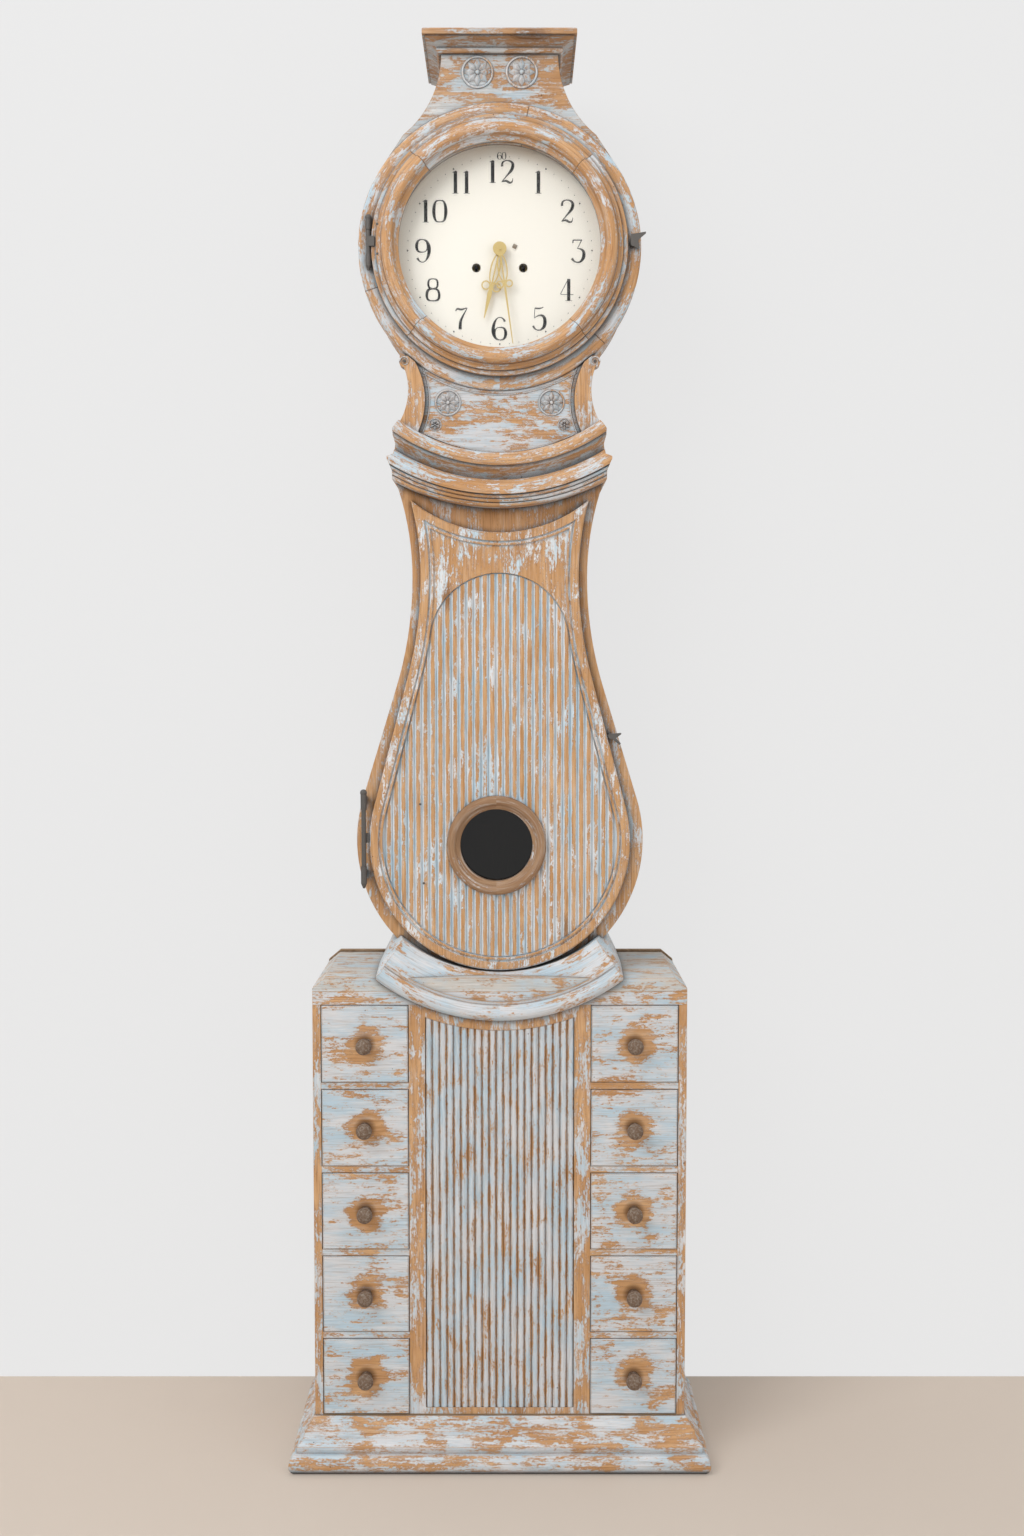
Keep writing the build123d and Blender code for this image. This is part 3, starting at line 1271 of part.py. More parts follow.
with BuildPart() as movement_plates:
    for y in (front_plate_y, back_plate_y):
        with BuildSketch(at_y(y + plate_thickness)):
            with Locations((0, seat_top_z)):
                Rectangle(2 * plate_half_width, plate_top_z - seat_top_z, align=(Align.CENTER, Align.MIN))
            with Locations((-barrel_x, barrel_z), (barrel_x, barrel_z)):
                Circle(barrel_arbor_radius + pivot_gap, mode=Mode.SUBTRACT)
            with Locations((0, hood_centre_z)):
                Circle(hands_arbor_radius + pivot_gap, mode=Mode.SUBTRACT)
            with Locations((0, pendulum_pivot_z)):
                Circle(anchor_arbor_radius + pivot_gap, mode=Mode.SUBTRACT)
            with Locations(hammer_pivot):
                Circle(hammer_arbor_radius + pivot_gap, mode=Mode.SUBTRACT)
        extrude(amount=plate_thickness)
    with BuildSketch(at_y(back_plate_y)):
        with Locations((-lower_pillar_x, pillar_foot_z), (lower_pillar_x, pillar_foot_z),
                       (-upper_pillar_x, pillar_head_z), (upper_pillar_x, pillar_head_z)):
            Circle(pillar_radius)
    extrude(amount=plate_gap)
    with BuildSketch(at_y(line_stud_back)):
        with Locations((-line_stud_x, barrel_z), (line_stud_x, barrel_z)):
            Circle(line_stud_radius)
    extrude(amount=line_stud_back - front_plate_y - plate_thickness)
    with Locations((0, back_plate_y + plate_thickness, pillar_head_z)):
        Box(cock_width, cock_y - back_plate_y + cock_thickness, cock_height,
            align=(Align.CENTER, Align.MIN, Align.CENTER))
    with Locations((0, cock_y + plate_thickness, pillar_head_z + cock_height / 2)):
        Box(0.6 * cock_width, cock_thickness, plate_top_z - pendulum_pivot_z,
            align=(Align.CENTER, Align.MIN, Align.MAX))
    with BuildSketch(at_y(cock_y + plate_thickness)):
        with Locations((0, pendulum_pivot_z)):
            Circle(pendulum_stud_radius)
    extrude(amount=pendulum_stud_length)
save(movement_plates, "movement_plates")

with BuildPart() as train_wheels:
    back_zone = back_plate_y - wheel_step
    mid_zone = line_y - wheel_hub / 4
    bore = barrel_arbor_radius + pivot_gap
    add(toothed_wheel(barrel_x, barrel_z, back_zone - wheel_step / 2, great_wheel_radius, great_wheel_teeth,
                      wheel_hub, bore))
    add(toothed_wheel(-barrel_x, barrel_z, back_zone + wheel_step / 2, great_wheel_radius, great_wheel_teeth,
                      wheel_hub, bore))
    add(toothed_wheel(0, hood_centre_z, front_plate_y + 2 * plate_thickness, centre_wheel_radius,
                      second_wheel_teeth, wheel_hub / 2, train_arbor_radius / 2))
    add(toothed_wheel(second_arbor_x, second_arbor_z, mid_zone, second_wheel_radius, second_wheel_teeth,
                      wheel_hub / 2, train_arbor_radius / 2))
    add(toothed_wheel(-second_arbor_x, second_arbor_z, mid_zone + 1.5 * wheel_step, second_wheel_radius,
                      second_wheel_teeth, wheel_hub / 2, train_arbor_radius / 2))
    add(toothed_wheel(0, escape_arbor_z, mid_zone + 2.75 * wheel_step, escape_wheel_radius,
                      escape_wheel_teeth, wheel_hub / 2, train_arbor_radius / 2))
    with BuildSketch(at_y(back_plate_y)):
        with Locations((0, hood_centre_z), (second_arbor_x, second_arbor_z), (-second_arbor_x, second_arbor_z),
                       (0, escape_arbor_z)):
            Circle(train_arbor_radius)
    extrude(amount=plate_gap - running_gap)
save(train_wheels, "train_wheels")


def barrel(side):
    """Winding barrel: arbor with a squared end behind the dial, drum and two flanges."""
    with BuildPart() as piece:
        with BuildSketch(at_y(back_plate_y + plate_thickness)):
            with Locations((side * barrel_x, barrel_z)):
                Circle(barrel_arbor_radius)
        extrude(amount=back_plate_y + plate_thickness - dial_front - dial_thickness)
        with BuildSketch(at_y(dial_front + dial_thickness)):
            with Locations((side * barrel_x, barrel_z)):
                Rectangle(arbor_square, arbor_square)
        extrude(amount=dial_thickness + arbor_end)
        with BuildSketch(at_y(line_y + barrel_length / 2)):
            with Locations((side * barrel_x, barrel_z)):
                Circle(drum_line_radius)
        extrude(amount=barrel_length)
        for back in (line_y + barrel_length / 2 + barrel_flange, line_y - barrel_length / 2):
            with BuildSketch(at_y(back)):
                with Locations((side * barrel_x, barrel_z)):
                    Circle(drum_line_radius + barrel_flange_lip)
            extrude(amount=barrel_flange)
    return piece


save(barrel(-1), "left_barrel")
save(barrel(1), "right_barrel")


def weight(side):
    """Cast weight with its stirrup and the pulley that the line runs under."""
    x = side * pulley_x
    top = weight_rest_z + weight_height
    shoulder = (x + weight_radius, top - weight_shoulder)
    neck = (x + stirrup_width * 0.75, top)
    strap_y = pulley_thickness / 2 + running_gap + stirrup_strap / 2
    with BuildPart() as piece:
        with BuildSketch(at_y(line_y)):
            with BuildLine():
                Polyline(neck, (x, top), (x, weight_rest_z), (x + weight_radius - weight_chamfer, weight_rest_z),
                         (x + weight_radius, weight_rest_z + weight_chamfer), shoulder, neck)
            make_face()
        revolve(axis=Axis((x, line_y, 0), (0, 0, 1)))
        with Locations((x, line_y - strap_y, top - arris), (x, line_y + strap_y, top - arris)):
            Box(stirrup_width, stirrup_strap, stirrup_height + arris + stirrup_width / 2,
                align=(Align.CENTER, Align.CENTER, Align.MIN))
        with BuildSketch(at_y(line_y + pulley_thickness / 2 + stirrup_strap)):
            with Locations((x, pulley_rest_z)):
                Circle(pulley_axle_radius)
        extrude(amount=pulley_thickness + 2 * stirrup_strap)
        with BuildSketch(at_y(line_y + pulley_thickness / 2)):
            with Locations((x, pulley_rest_z)):
                Circle(pulley_radius)
                Circle(pulley_axle_radius + pivot_gap, mode=Mode.SUBTRACT)
        extrude(amount=pulley_thickness)
    return piece


save(weight(-1), "left_weight")
save(weight(1), "right_weight")


def weight_line(side):
    """The two strands of a gut line, from the barrel and the stud down to the pulley."""
    with BuildPart() as piece:
        for x, top in ((line_in_x, barrel_z), (line_stud_x, barrel_z - line_stud_radius - running_gap)):
            with BuildSketch(Plane.XY.offset(pulley_rest_z)):
                with Locations((side * x, line_y)):
                    Circle(line_radius)
            extrude(amount=top - pulley_rest_z)
    return piece


save(weight_line(-1), "left_line")
save(weight_line(1), "right_line")

with BuildPart() as pendulum:
    rod_foot_z = pendulum_bob_z - pendulum_bob_radius - pendulum_rod_tail
    with BuildSketch(Plane.XY.offset(rod_foot_z)):
        with Locations((0, rod_y)):
            Circle(pendulum_rod_radius)
    extrude(amount=pendulum_pivot_z - pendulum_eye_radius / 2 - rod_foot_z)
    with BuildSketch(Plane.YZ):
        bob_half = pendulum_bob_thickness / 2
        bulge_y = bob_half / 2 + 1
        flat_z = pendulum_bob_z + pendulum_bob_radius / 5
        bulge_z = pendulum_bob_z + 0.7 * pendulum_bob_radius
        edge_z = pendulum_bob_z + pendulum_bob_radius
        with BuildLine():
            Polyline((rod_y - bob_half, flat_z), (rod_y - bob_half, pendulum_bob_z),
                     (rod_y + bob_half, pendulum_bob_z), (rod_y + bob_half, flat_z), (rod_y + bulge_y, bulge_z),
                     (rod_y + 1, edge_z), (rod_y - 1, edge_z), (rod_y - bulge_y, bulge_z),
                     (rod_y - bob_half, flat_z))
        make_face()
    revolve(axis=turning_axis(0, pendulum_bob_z))
    with BuildSketch(Plane.XY.offset(rod_foot_z + pendulum_rod_tail - 2 * rating_nut_height)):
        with Locations((0, rod_y)):
            RegularPolygon(rating_nut_radius, 6)
    extrude(amount=rating_nut_height)
    with BuildSketch(at_y(rod_y + pendulum_eye_width / 2)):
        with Locations((0, pendulum_pivot_z)):
            Circle(pendulum_eye_radius)
            Circle(pendulum_stud_radius + pivot_gap, mode=Mode.SUBTRACT)
    extrude(amount=pendulum_eye_width)
save(pendulum, "pendulum")

with BuildPart() as anchor:
    pallet_x = pallet_reach + quirk
    with BuildSketch(at_y(back_plate_y + plate_thickness + 2 * wheel_step)):
        with Locations((0, pendulum_pivot_z)):
            Circle(anchor_arbor_radius)
    extrude(amount=back_plate_y + 2 * wheel_step - front_plate_y + plate_thickness)
    with BuildSketch(at_y(line_stud_back)):
        with BuildLine():
            Polyline((0, pendulum_pivot_z + anchor_web), (pallet_x, pendulum_pivot_z - quirk * anchor_web),
                     (pallet_x, pendulum_pivot_z - pallet_x - 1),
                     (pallet_reach, pendulum_pivot_z - pallet_reach - arris),
                     (pallet_reach - 1, pendulum_pivot_z - quirk * anchor_web),
                     (0, pendulum_pivot_z - anchor_web))
            mirror(about=Plane.YZ)
        make_face()
    extrude(amount=quirk)
    crutch_y = back_plate_y + plate_thickness + wheel_step
    with BuildSketch(at_y(crutch_y + crutch_thickness)):
        with Locations((0, pendulum_pivot_z + quirk)):
            Rectangle(crutch_width, crutch_length, align=(Align.CENTER, Align.MAX))
    extrude(amount=crutch_thickness)
    fork_z = pendulum_pivot_z + quirk - crutch_length
    with Locations((0, crutch_y, fork_z)):
        Box(4 * pendulum_rod_radius, crutch_thickness, anchor_web, align=(Align.CENTER, Align.MIN, Align.MIN))
    prong_x = pendulum_rod_radius + running_gap + crutch_thickness / 2
    with Locations((-prong_x, crutch_y, fork_z), (prong_x, crutch_y, fork_z)):
        Box(crutch_thickness, rod_y - crutch_y + pendulum_rod_radius + arris, anchor_web,
            align=(Align.CENTER, Align.MIN, Align.MIN))
save(anchor, "anchor")

with BuildPart() as bell:
    with BuildSketch(at_y(line_y)):
        with BuildLine():
            for i in range(bell_steps):
                angles = (radians(90 * i / bell_steps), radians(90 * (i + 1) / bell_steps))
                for radius in (bell_radius, bell_radius - bell_wall):
                    Line(*((radius * cos(angle), bell_z + radius * sin(angle)) for angle in angles))
            Line((bell_radius - bell_wall, bell_z), (bell_radius, bell_z))
            Line((0, bell_z + bell_radius - bell_wall), (0, bell_z + bell_radius))
        make_face()
    revolve(axis=Axis((0, line_y, 0), (0, 0, 1)))
    with BuildSketch(Plane.XY.offset(plate_top_z)):
        with Locations((0, line_y)):
            Circle(line_stud_radius)
    extrude(amount=bell_z + bell_radius - plate_top_z + quirk)
    with Locations((0, line_y, plate_top_z)):
        Box(3 * cock_thickness, plate_gap + 2 * plate_thickness, quirk,
            align=(Align.CENTER, Align.CENTER, Align.MIN))
save(bell, "bell")

with BuildPart() as strike_hammer:
    with BuildSketch(at_y(back_plate_y + plate_thickness)):
        with Locations(hammer_pivot):
            Circle(hammer_arbor_radius)
    extrude(amount=plate_gap + 2 * plate_thickness)
    with BuildSketch(at_y(line_y + hammer_shank / 2)):
        with Locations(Location(hammer_pivot, -degrees(atan2(hammer_lean, hammer_length)))):
            Rectangle(hammer_shank, hypot(hammer_lean, hammer_length), align=(Align.CENTER, Align.MIN))
            Circle(hammer_head_radius)
    extrude(amount=hammer_shank)
    with BuildSketch(at_y(line_y + hammer_head_length / 2)):
        with Locations(hammer_tip):
            Circle(hammer_head_radius)
    extrude(amount=hammer_head_length)
save(strike_hammer, "strike_hammer")
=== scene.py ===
"""Looks of a pine mora clock: worn paint on scraped wood, forged iron, painted dial, gilt hands, carving."""

import logging
import math
from collections.abc import Iterable
from dataclasses import dataclass, replace
from enum import Enum

import bpy
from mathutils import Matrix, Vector


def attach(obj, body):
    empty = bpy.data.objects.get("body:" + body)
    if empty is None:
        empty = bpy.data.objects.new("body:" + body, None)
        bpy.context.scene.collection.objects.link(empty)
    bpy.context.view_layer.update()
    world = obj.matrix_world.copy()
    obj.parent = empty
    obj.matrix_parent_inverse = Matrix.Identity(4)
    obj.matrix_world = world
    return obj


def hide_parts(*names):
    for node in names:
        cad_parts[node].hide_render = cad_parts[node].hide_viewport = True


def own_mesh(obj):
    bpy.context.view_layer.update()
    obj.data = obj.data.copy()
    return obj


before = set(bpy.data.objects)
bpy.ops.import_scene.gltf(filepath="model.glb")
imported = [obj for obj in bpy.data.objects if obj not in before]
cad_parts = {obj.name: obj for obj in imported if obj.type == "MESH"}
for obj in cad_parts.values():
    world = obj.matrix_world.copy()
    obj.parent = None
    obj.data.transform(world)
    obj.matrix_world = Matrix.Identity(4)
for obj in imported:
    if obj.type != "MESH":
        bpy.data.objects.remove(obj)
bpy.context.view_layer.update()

logging.basicConfig(level=logging.INFO, format="%(name)s: %(message)s")
log = logging.getLogger("mora_clock")

Socket = bpy.types.NodeSocket
Sockets = bpy.types.bpy_prop_collection
Colour = tuple[float, float, float, float]
Point = tuple[float, float, float]
Pair = tuple[float, float]
Value = Socket | float | tuple[float, ...]

MM = 0.001


# ---------------------------------------------------------------- shader graphs
def srgb(code: str) -> Colour:
    """Turn a hex colour into linear values.

    Args:
        code: Six hex digits, such as "C08A52".

    Returns:
        Red, green, blue and alpha, linear.
    """
    channels = [int(code[i:i + 2], 16) / 255 for i in (0, 2, 4)]
    linear = [c / 12.92 if c <= 0.04045 else ((c + 0.055) / 1.055) ** 2.4 for c in channels]
    return (*linear, 1.0)


class Graph:
    """Adds shader nodes to a tree and links them."""

    def __init__(self, tree: bpy.types.NodeTree) -> None:
        """Keep the tree that nodes go into."""
        self.tree = tree

    def feed(self, node: bpy.types.Node, inputs: dict[str | int, Value]) -> bpy.types.Node:
        """Set a node's inputs to constants, or link them from sockets.

        Args:
            node: The node to feed.
            inputs: Socket name or number, and a constant or an output socket.

        Returns:
            The same node.
        """
        for key, value in inputs.items():
            if isinstance(value, Socket):
                self.tree.links.new(value, node.inputs[key])
            else:
                node.inputs[key].default_value = value
        return node

    def add(self, kind: str, inputs: dict[str | int, Value] | None = None,
            **settings: object) -> bpy.types.Node:
        """Add one node.

        Args:
            kind: Node type, without the ShaderNode prefix.
            inputs: Its inputs, as feed takes them.
            settings: Properties of the node.

        Returns:
            The new node.
        """
        node = self.tree.nodes.new("ShaderNode" + kind)
        for key, value in settings.items():
            setattr(node, key, value)
        return self.feed(node, inputs or {})

    def effect(self, shared: "type[Effect]", **inputs: Value) -> bpy.types.Node:
        """Place a shared effect and feed it."""
        return self.feed(self.add("Group", node_tree=shared.tree()), inputs)

    def math(self, operation: str, *values: Value, clamp: bool = False) -> Socket:
        """Add a Math node and return its output."""
        return self.add("Math", dict(enumerate(values)), operation=operation, use_clamp=clamp).outputs[0]

    def total(self, *parts: tuple[float, Socket]) -> Socket:
        """Add up sockets, each times its share.

        Args:
            parts: Pairs of a share and a socket.

        Returns:
            The weighted sum.
        """
        share, value = parts[0]
        result = self.math("MULTIPLY", value, share)
        for share, value in parts[1:]:
            result = self.math("MULTIPLY_ADD", value, share, result)
        return result

    def mix(self, factor: Value, low: Value, high: Value, blend: str = "MIX") -> Socket:
        """Add a colour Mix node and return its output."""
        node = self.add("Mix", data_type="RGBA", blend_type=blend, clamp_factor=True)
        return self.feed(node, {0: factor, 6: low, 7: high}).outputs[2]

    def ramp(self, value: Value, low: float, high: float, start: float = 0.0, end: float = 1.0) -> Socket:
        """Stretch a value so that low becomes start and high becomes end, clamped."""
        return self.add("MapRange", {0: value, 1: low, 2: high, 3: start, 4: end}).outputs[0]

    def noise(self, vector: Socket, scale: float, detail: float = 2.0, roughness: float = 0.5,
              distortion: float = 0.0) -> Socket:
        """Add a Noise Texture and return its value."""
        return self.add("TexNoise", {"Vector": vector, "Scale": scale, "Detail": detail,
                                     "Roughness": roughness, "Distortion": distortion}).outputs[0]

    def stretch(self, vector: Socket, along: float) -> Socket:
        """Draw a pattern out along the grain, which is the vector's Z."""
        return self.add("VectorMath", {0: vector, 1: (1.0, 1.0, along)}, operation="MULTIPLY").outputs[0]

    def coordinates(self) -> Socket:
        """Return the object coordinates."""
        return self.add("TexCoord").outputs["Object"]

    def place(self) -> tuple[Socket, Socket, Socket]:
        """Return the object coordinates one by one."""
        x, y, z = self.add("SeparateXYZ", {0: self.coordinates()}).outputs
        return x, y, z

    def bump(self, strength: float, distance: float, height: Socket, normal: Socket | None = None) -> Socket:
        """Add a Bump node and return its normal.

        Args:
            strength: Strength of the relief.
            distance: Height of the relief, in metres.
            height: The relief.
            normal: The normal that it stands on, or None for the face's own.

        Returns:
            The bumped normal.
        """
        inputs: dict[str | int, Value] = {"Strength": strength, "Distance": distance, "Height": height}
        if normal:
            inputs["Normal"] = normal
        return self.add("Bump", inputs).outputs[0]

    def reach(self, side: Value, rise: Value) -> Socket:
        """Distance from two legs at a right angle."""
        return self.math("SQRT", self.math("MULTIPLY_ADD", side, side, self.math("MULTIPLY", rise, rise)))


class Effect:
    """A shader group that several materials share, built once.

    Attributes:
        name: Name of the group.
        inputs: Name, kind and start value of each input.
        outputs: Name and kind of each output.
    """

    name: str = ""
    inputs: tuple[tuple[str, str, float], ...] = ()
    outputs: tuple[tuple[str, str], ...] = ()

    @classmethod
    def tree(cls) -> bpy.types.NodeTree:
        """Build the group the first time.

        Returns:
            The group's tree.
        """
        known = bpy.data.node_groups.get(cls.name)
        if known:
            return known
        tree = bpy.data.node_groups.new(cls.name, "ShaderNodeTree")
        for name, kind, start in cls.inputs:
            socket = tree.interface.new_socket(name, in_out="INPUT", socket_type="NodeSocket" + kind)
            if kind == "Float":
                socket.default_value = start
        for name, kind in cls.outputs:
            tree.interface.new_socket(name, in_out="OUTPUT", socket_type="NodeSocket" + kind)
        source = tree.nodes.new("NodeGroupInput")
        sink = tree.nodes.new("NodeGroupOutput")
        graph = Graph(tree)
        graph.feed(sink, cls.fill(graph, source.outputs))
        return tree

    @staticmethod
    def fill(g: Graph, given: Sockets) -> dict[str, Socket]:
        """Build the group's nodes and return its outputs by name."""
        raise NotImplementedError


class PineFigure(Effect):
    """Growth rings, fibres and knots of pine, with the grain along the vector's Z."""

    name = "pine_figure"
    inputs = (("Vector", "Vector", 0.0),)
    outputs = (("Rings", "Float"), ("Fibre", "Float"), ("Knots", "Float"), ("Tone", "Float"))

    @staticmethod
    def fill(g: Graph, given: Sockets) -> dict[str, Socket]:
        """Build the group's nodes.

        Args:
            g: The group's graph.
            given: The group's inputs by name.

        Returns:
            The group's outputs by name.
        """
        vector = given["Vector"]
        knot_field = g.add("TexVoronoi", {"Vector": g.stretch(vector, 0.45), "Scale": 9.0})
        knots = g.ramp(knot_field.outputs["Distance"], 0.13, 0.07)
        plank = g.math("MULTIPLY_ADD", knots, 0.12, g.noise(g.stretch(vector, 0.12), 16.0, 2.0, 0.5, 0.4))
        rings = g.math("ABSOLUTE", g.math("SINE", g.math("MULTIPLY", plank, 52.0)))
        fibre = g.noise(g.stretch(vector, 0.035), 560.0, 3.0, 0.65)
        tone = g.ramp(g.noise(g.stretch(vector, 0.3), 24.0, 3.0), 0.32, 0.68)
        return {"Rings": rings, "Fibre": fibre, "Knots": knots, "Tone": tone}


class PaintRemnants(Effect):
    """Old paint that survives in streaks along the grain, which is the vector's Z.

    Rim is where a patch ends, White is a chalky film over the wood, and Tint tells pale paint from blue.
    """

    name = "paint_remnants"
    inputs = (("Vector", "Vector", 0.0), ("Coverage", "Float", 0.5))
    outputs = (("Mask", "Float"), ("Tint", "Float"), ("Rim", "Float"), ("White", "Float"))

    @staticmethod
    def fill(g: Graph, given: Sockets) -> dict[str, Socket]:
        """Build the group's nodes.

        Args:
            g: The group's graph.
            given: The group's inputs by name.

        Returns:
            The group's outputs by name.
        """
        vector = given["Vector"]
        patches = g.noise(g.stretch(vector, 0.5), 30.0, 4.0, 0.62, 0.8)
        streaks = g.noise(g.stretch(vector, 0.13), 170.0, 5.0, 0.72, 0.3)
        flecks = g.noise(g.stretch(vector, 0.4), 420.0, 3.0, 0.75)
        cover = g.total((0.38, patches), (0.36, streaks), (0.26, flecks))
        level = g.math("MULTIPLY_ADD", given["Coverage"], -0.34, 0.665)
        over = g.math("SUBTRACT", cover, level)
        mask = g.math("MULTIPLY_ADD", over, 20.0, 0.5, clamp=True)
        from_rim = g.math("ABSOLUTE", g.math("ADD", over, 0.022))
        rim = g.math("SUBTRACT", 1.0, g.math("MULTIPLY", from_rim, 55.0), clamp=True)
        tint = g.ramp(g.noise(g.stretch(vector, 0.3), 38.0, 4.0, 0.65), 0.42, 0.62)
        film = g.noise(g.stretch(vector, 0.05), 330.0, 4.0, 0.7)
        white = g.math("MULTIPLY", g.ramp(film, 0.5, 0.66), g.ramp(patches, 0.3, 0.6))
        return {"Mask": mask, "Tint": tint, "Rim": rim, "White": white}


class EdgeWear(Effect):
    """Where edges are rubbed and where creases lie in shade, found by ambient occlusion, with the edges'
    rounding as a normal.
    """

    name = "edge_wear"
    inputs = (("Radius", "Float", 0.002),)
    outputs = (("Edge", "Float"), ("Crease", "Float"), ("Normal", "Vector"))

    @staticmethod
    def fill(g: Graph, given: Sockets) -> dict[str, Socket]:
        """Build the group's nodes.

        Args:
            g: The group's graph.
            given: The group's inputs by name.

        Returns:
            The group's outputs by name.
        """
        bevel = g.add("Bevel", {"Radius": given["Radius"]}, samples=4)
        flat = g.add("NewGeometry").outputs["Normal"]
        agreement = g.add("VectorMath", {0: bevel.outputs[0], 1: flat}, operation="DOT_PRODUCT")
        bend = g.ramp(agreement.outputs["Value"], 0.995, 0.86)
        open_sky = g.add("AmbientOcclusion", {"Distance": 0.011}, samples=6).outputs["AO"]
        crease = g.ramp(open_sky, 0.93, 0.45)
        edge = g.math("MULTIPLY", bend, g.math("SUBTRACT", 1.0, crease))
        return {"Edge": edge, "Crease": crease, "Normal": bevel.outputs[0]}


class Specks(Effect):
    """Small round specks scattered sparsely, such as worm holes, chips and nail stains."""

    name = "specks"
    inputs = (("Vector", "Vector", 0.0), ("Scale", "Float", 60.0), ("Size", "Float", 0.08))
    outputs = (("Mask", "Float"),)

    @staticmethod
    def fill(g: Graph, given: Sockets) -> dict[str, Socket]:
        """Build the group's nodes.

        Args:
            g: The group's graph.
            given: The group's inputs by name.

        Returns:
            The group's outputs by name.
        """
        cells = g.add("TexVoronoi", {"Vector": given["Vector"], "Scale": given["Scale"]})
        chance = g.add("SeparateColor", {0: cells.outputs["Color"]}).outputs[0]
        size = g.math("MULTIPLY", given["Size"], g.ramp(chance, 0.55, 1.0))
        mask = g.math("MULTIPLY", g.math("SUBTRACT", size, cells.outputs["Distance"]), 40.0, clamp=True)
        return {"Mask": mask}


class Felloes(Effect):
    """Grain that runs round a ring glued up from curved pieces, and the joints between them.

    Side and Rise are measured from the ring's middle. Count is the number of pieces, and Turn moves
    the joints round, in parts of a whole circle from straight above.
    """

    name = "felloes"
    inputs = (("Side", "Float", 0.0), ("Depth", "Float", 0.0), ("Rise", "Float", 0.0),
              ("Count", "Float", 4.0), ("Turn", "Float", 0.0))
    outputs = (("Vector", "Vector"), ("Joint", "Float"))

    @staticmethod
    def fill(g: Graph, given: Sockets) -> dict[str, Socket]:
        """Build the group's nodes.

        Args:
            g: The group's graph.
            given: The group's inputs by name.

        Returns:
            The group's outputs by name.
        """
        radius = g.reach(given["Side"], given["Rise"])
        turn = g.math("DIVIDE", g.math("ARCTAN2", given["Side"], given["Rise"]), 2 * math.pi)
        step = g.math("MULTIPLY", g.math("ADD", turn, given["Turn"]), given["Count"])
        number = g.math("FLOOR", step)
        share = g.math("SUBTRACT", g.math("SUBTRACT", step, number), 0.5)
        angle = g.math("DIVIDE", g.math("MULTIPLY", share, 2 * math.pi), given["Count"])
        arc = g.math("MULTIPLY", angle, radius)
        nearest = g.math("MULTIPLY", g.math("SUBTRACT", 0.5, g.math("ABSOLUTE", share)), radius)
        layer = g.math("MULTIPLY_ADD", number, 0.37, given["Depth"])
        vector = g.add("CombineXYZ", {0: radius, 1: layer, 2: arc})
        return {"Vector": vector.outputs[0], "Joint": g.ramp(nearest, 0.0006, 0.0001)}


@dataclass(frozen=True)
class Ring:
    """A round wooden piece and the felloes that it is glued up from.

    Attributes:
        x: Its middle, across.
        z: Its middle, up.
        count: Number of its felloes.
        turn: Where their joints lie, in parts of a whole circle.
    """

    x: float
    z: float
    count: float
    turn: float


class Grain(Enum):
    """Which way the fibres of a wooden piece run."""

    UPRIGHT = "upright"
    ACROSS = "across"
    DEEP = "deep"
    BEZEL = Ring(0.0, 1.797, 4.0, 0.122)
    HOOD = Ring(0.0, 1.797, 3.0, 0.3)
    LENTICLE = Ring(-0.005, 0.924, 1.0, 0.0)
    COLLAR = Ring(0.0, 0.970, 1.0, 0.0)
    CORNICE = Ring(0.0, 1.745, 1.0, 0.0)

    def vector(self, g: Graph) -> tuple[Socket, Socket | None]:
        """Turn object coordinates so that the grain runs along Z.

        Args:
            g: The material's graph.

        Returns:
            The turned coordinates, in metres, and the mask of the glue joints or None.
        """
        if self is Grain.UPRIGHT:
            return g.coordinates(), None
        x, y, z = g.place()
        if self is Grain.ACROSS:
            return g.add("CombineXYZ", {0: z, 1: y, 2: x}).outputs[0], None
        if self is Grain.DEEP:
            return g.add("CombineXYZ", {0: x, 1: z, 2: y}).outputs[0], None
        ring = self.value
        laid = g.effect(Felloes, Side=g.math("SUBTRACT", x, ring.x), Depth=y,
                        Rise=g.math("SUBTRACT", z, ring.z), Count=ring.count, Turn=ring.turn).outputs
        return laid["Vector"], laid["Joint"] if ring.count > 1 else None


# ---------------------------------------------------------------- finishes
OLD_FIBRE = srgb("8A5C38")
KNOT = srgb("5E3A20")
CHALK_ON_WOOD = srgb("D9D4CE")
GREYED_PAINT = srgb("9C948C")
CHALK_ON_PAINT = srgb("E6E6E6")
SCRAPED_RIM = srgb("855832")
# Painted shade and dirt, multiplied into the creases that ambient occlusion finds.
CREASE_SHADE_AND_DIRT = srgb("4C3A2B")
WORM_HOLE = srgb("3A2A1E")
GLUE_JOINT = srgb("3E2C1E")
# Painted shade and dirt at the bottoms of the reeds' valleys.
VALLEY_SHADE_AND_DIRT = srgb("5A4230")


@dataclass(frozen=True)
class Finish:
    """A material that is built once under its name.

    Attributes:
        name: Material name.
    """

    name: str

    def material(self) -> bpy.types.Material:
        """Build the material the first time.

        Returns:
            The material.
        """
        known = bpy.data.materials.get(self.name)
        if known:
            return known
        made = bpy.data.materials.new(self.name)
        made.use_nodes = True
        g = Graph(made.node_tree)
        g.feed(made.node_tree.nodes["Principled BSDF"], self.shader_inputs(g))
        return made

    def shader_inputs(self, g: Graph) -> dict[str | int, Value]:
        """Build the nodes and return what the Principled BSDF takes."""
        raise NotImplementedError


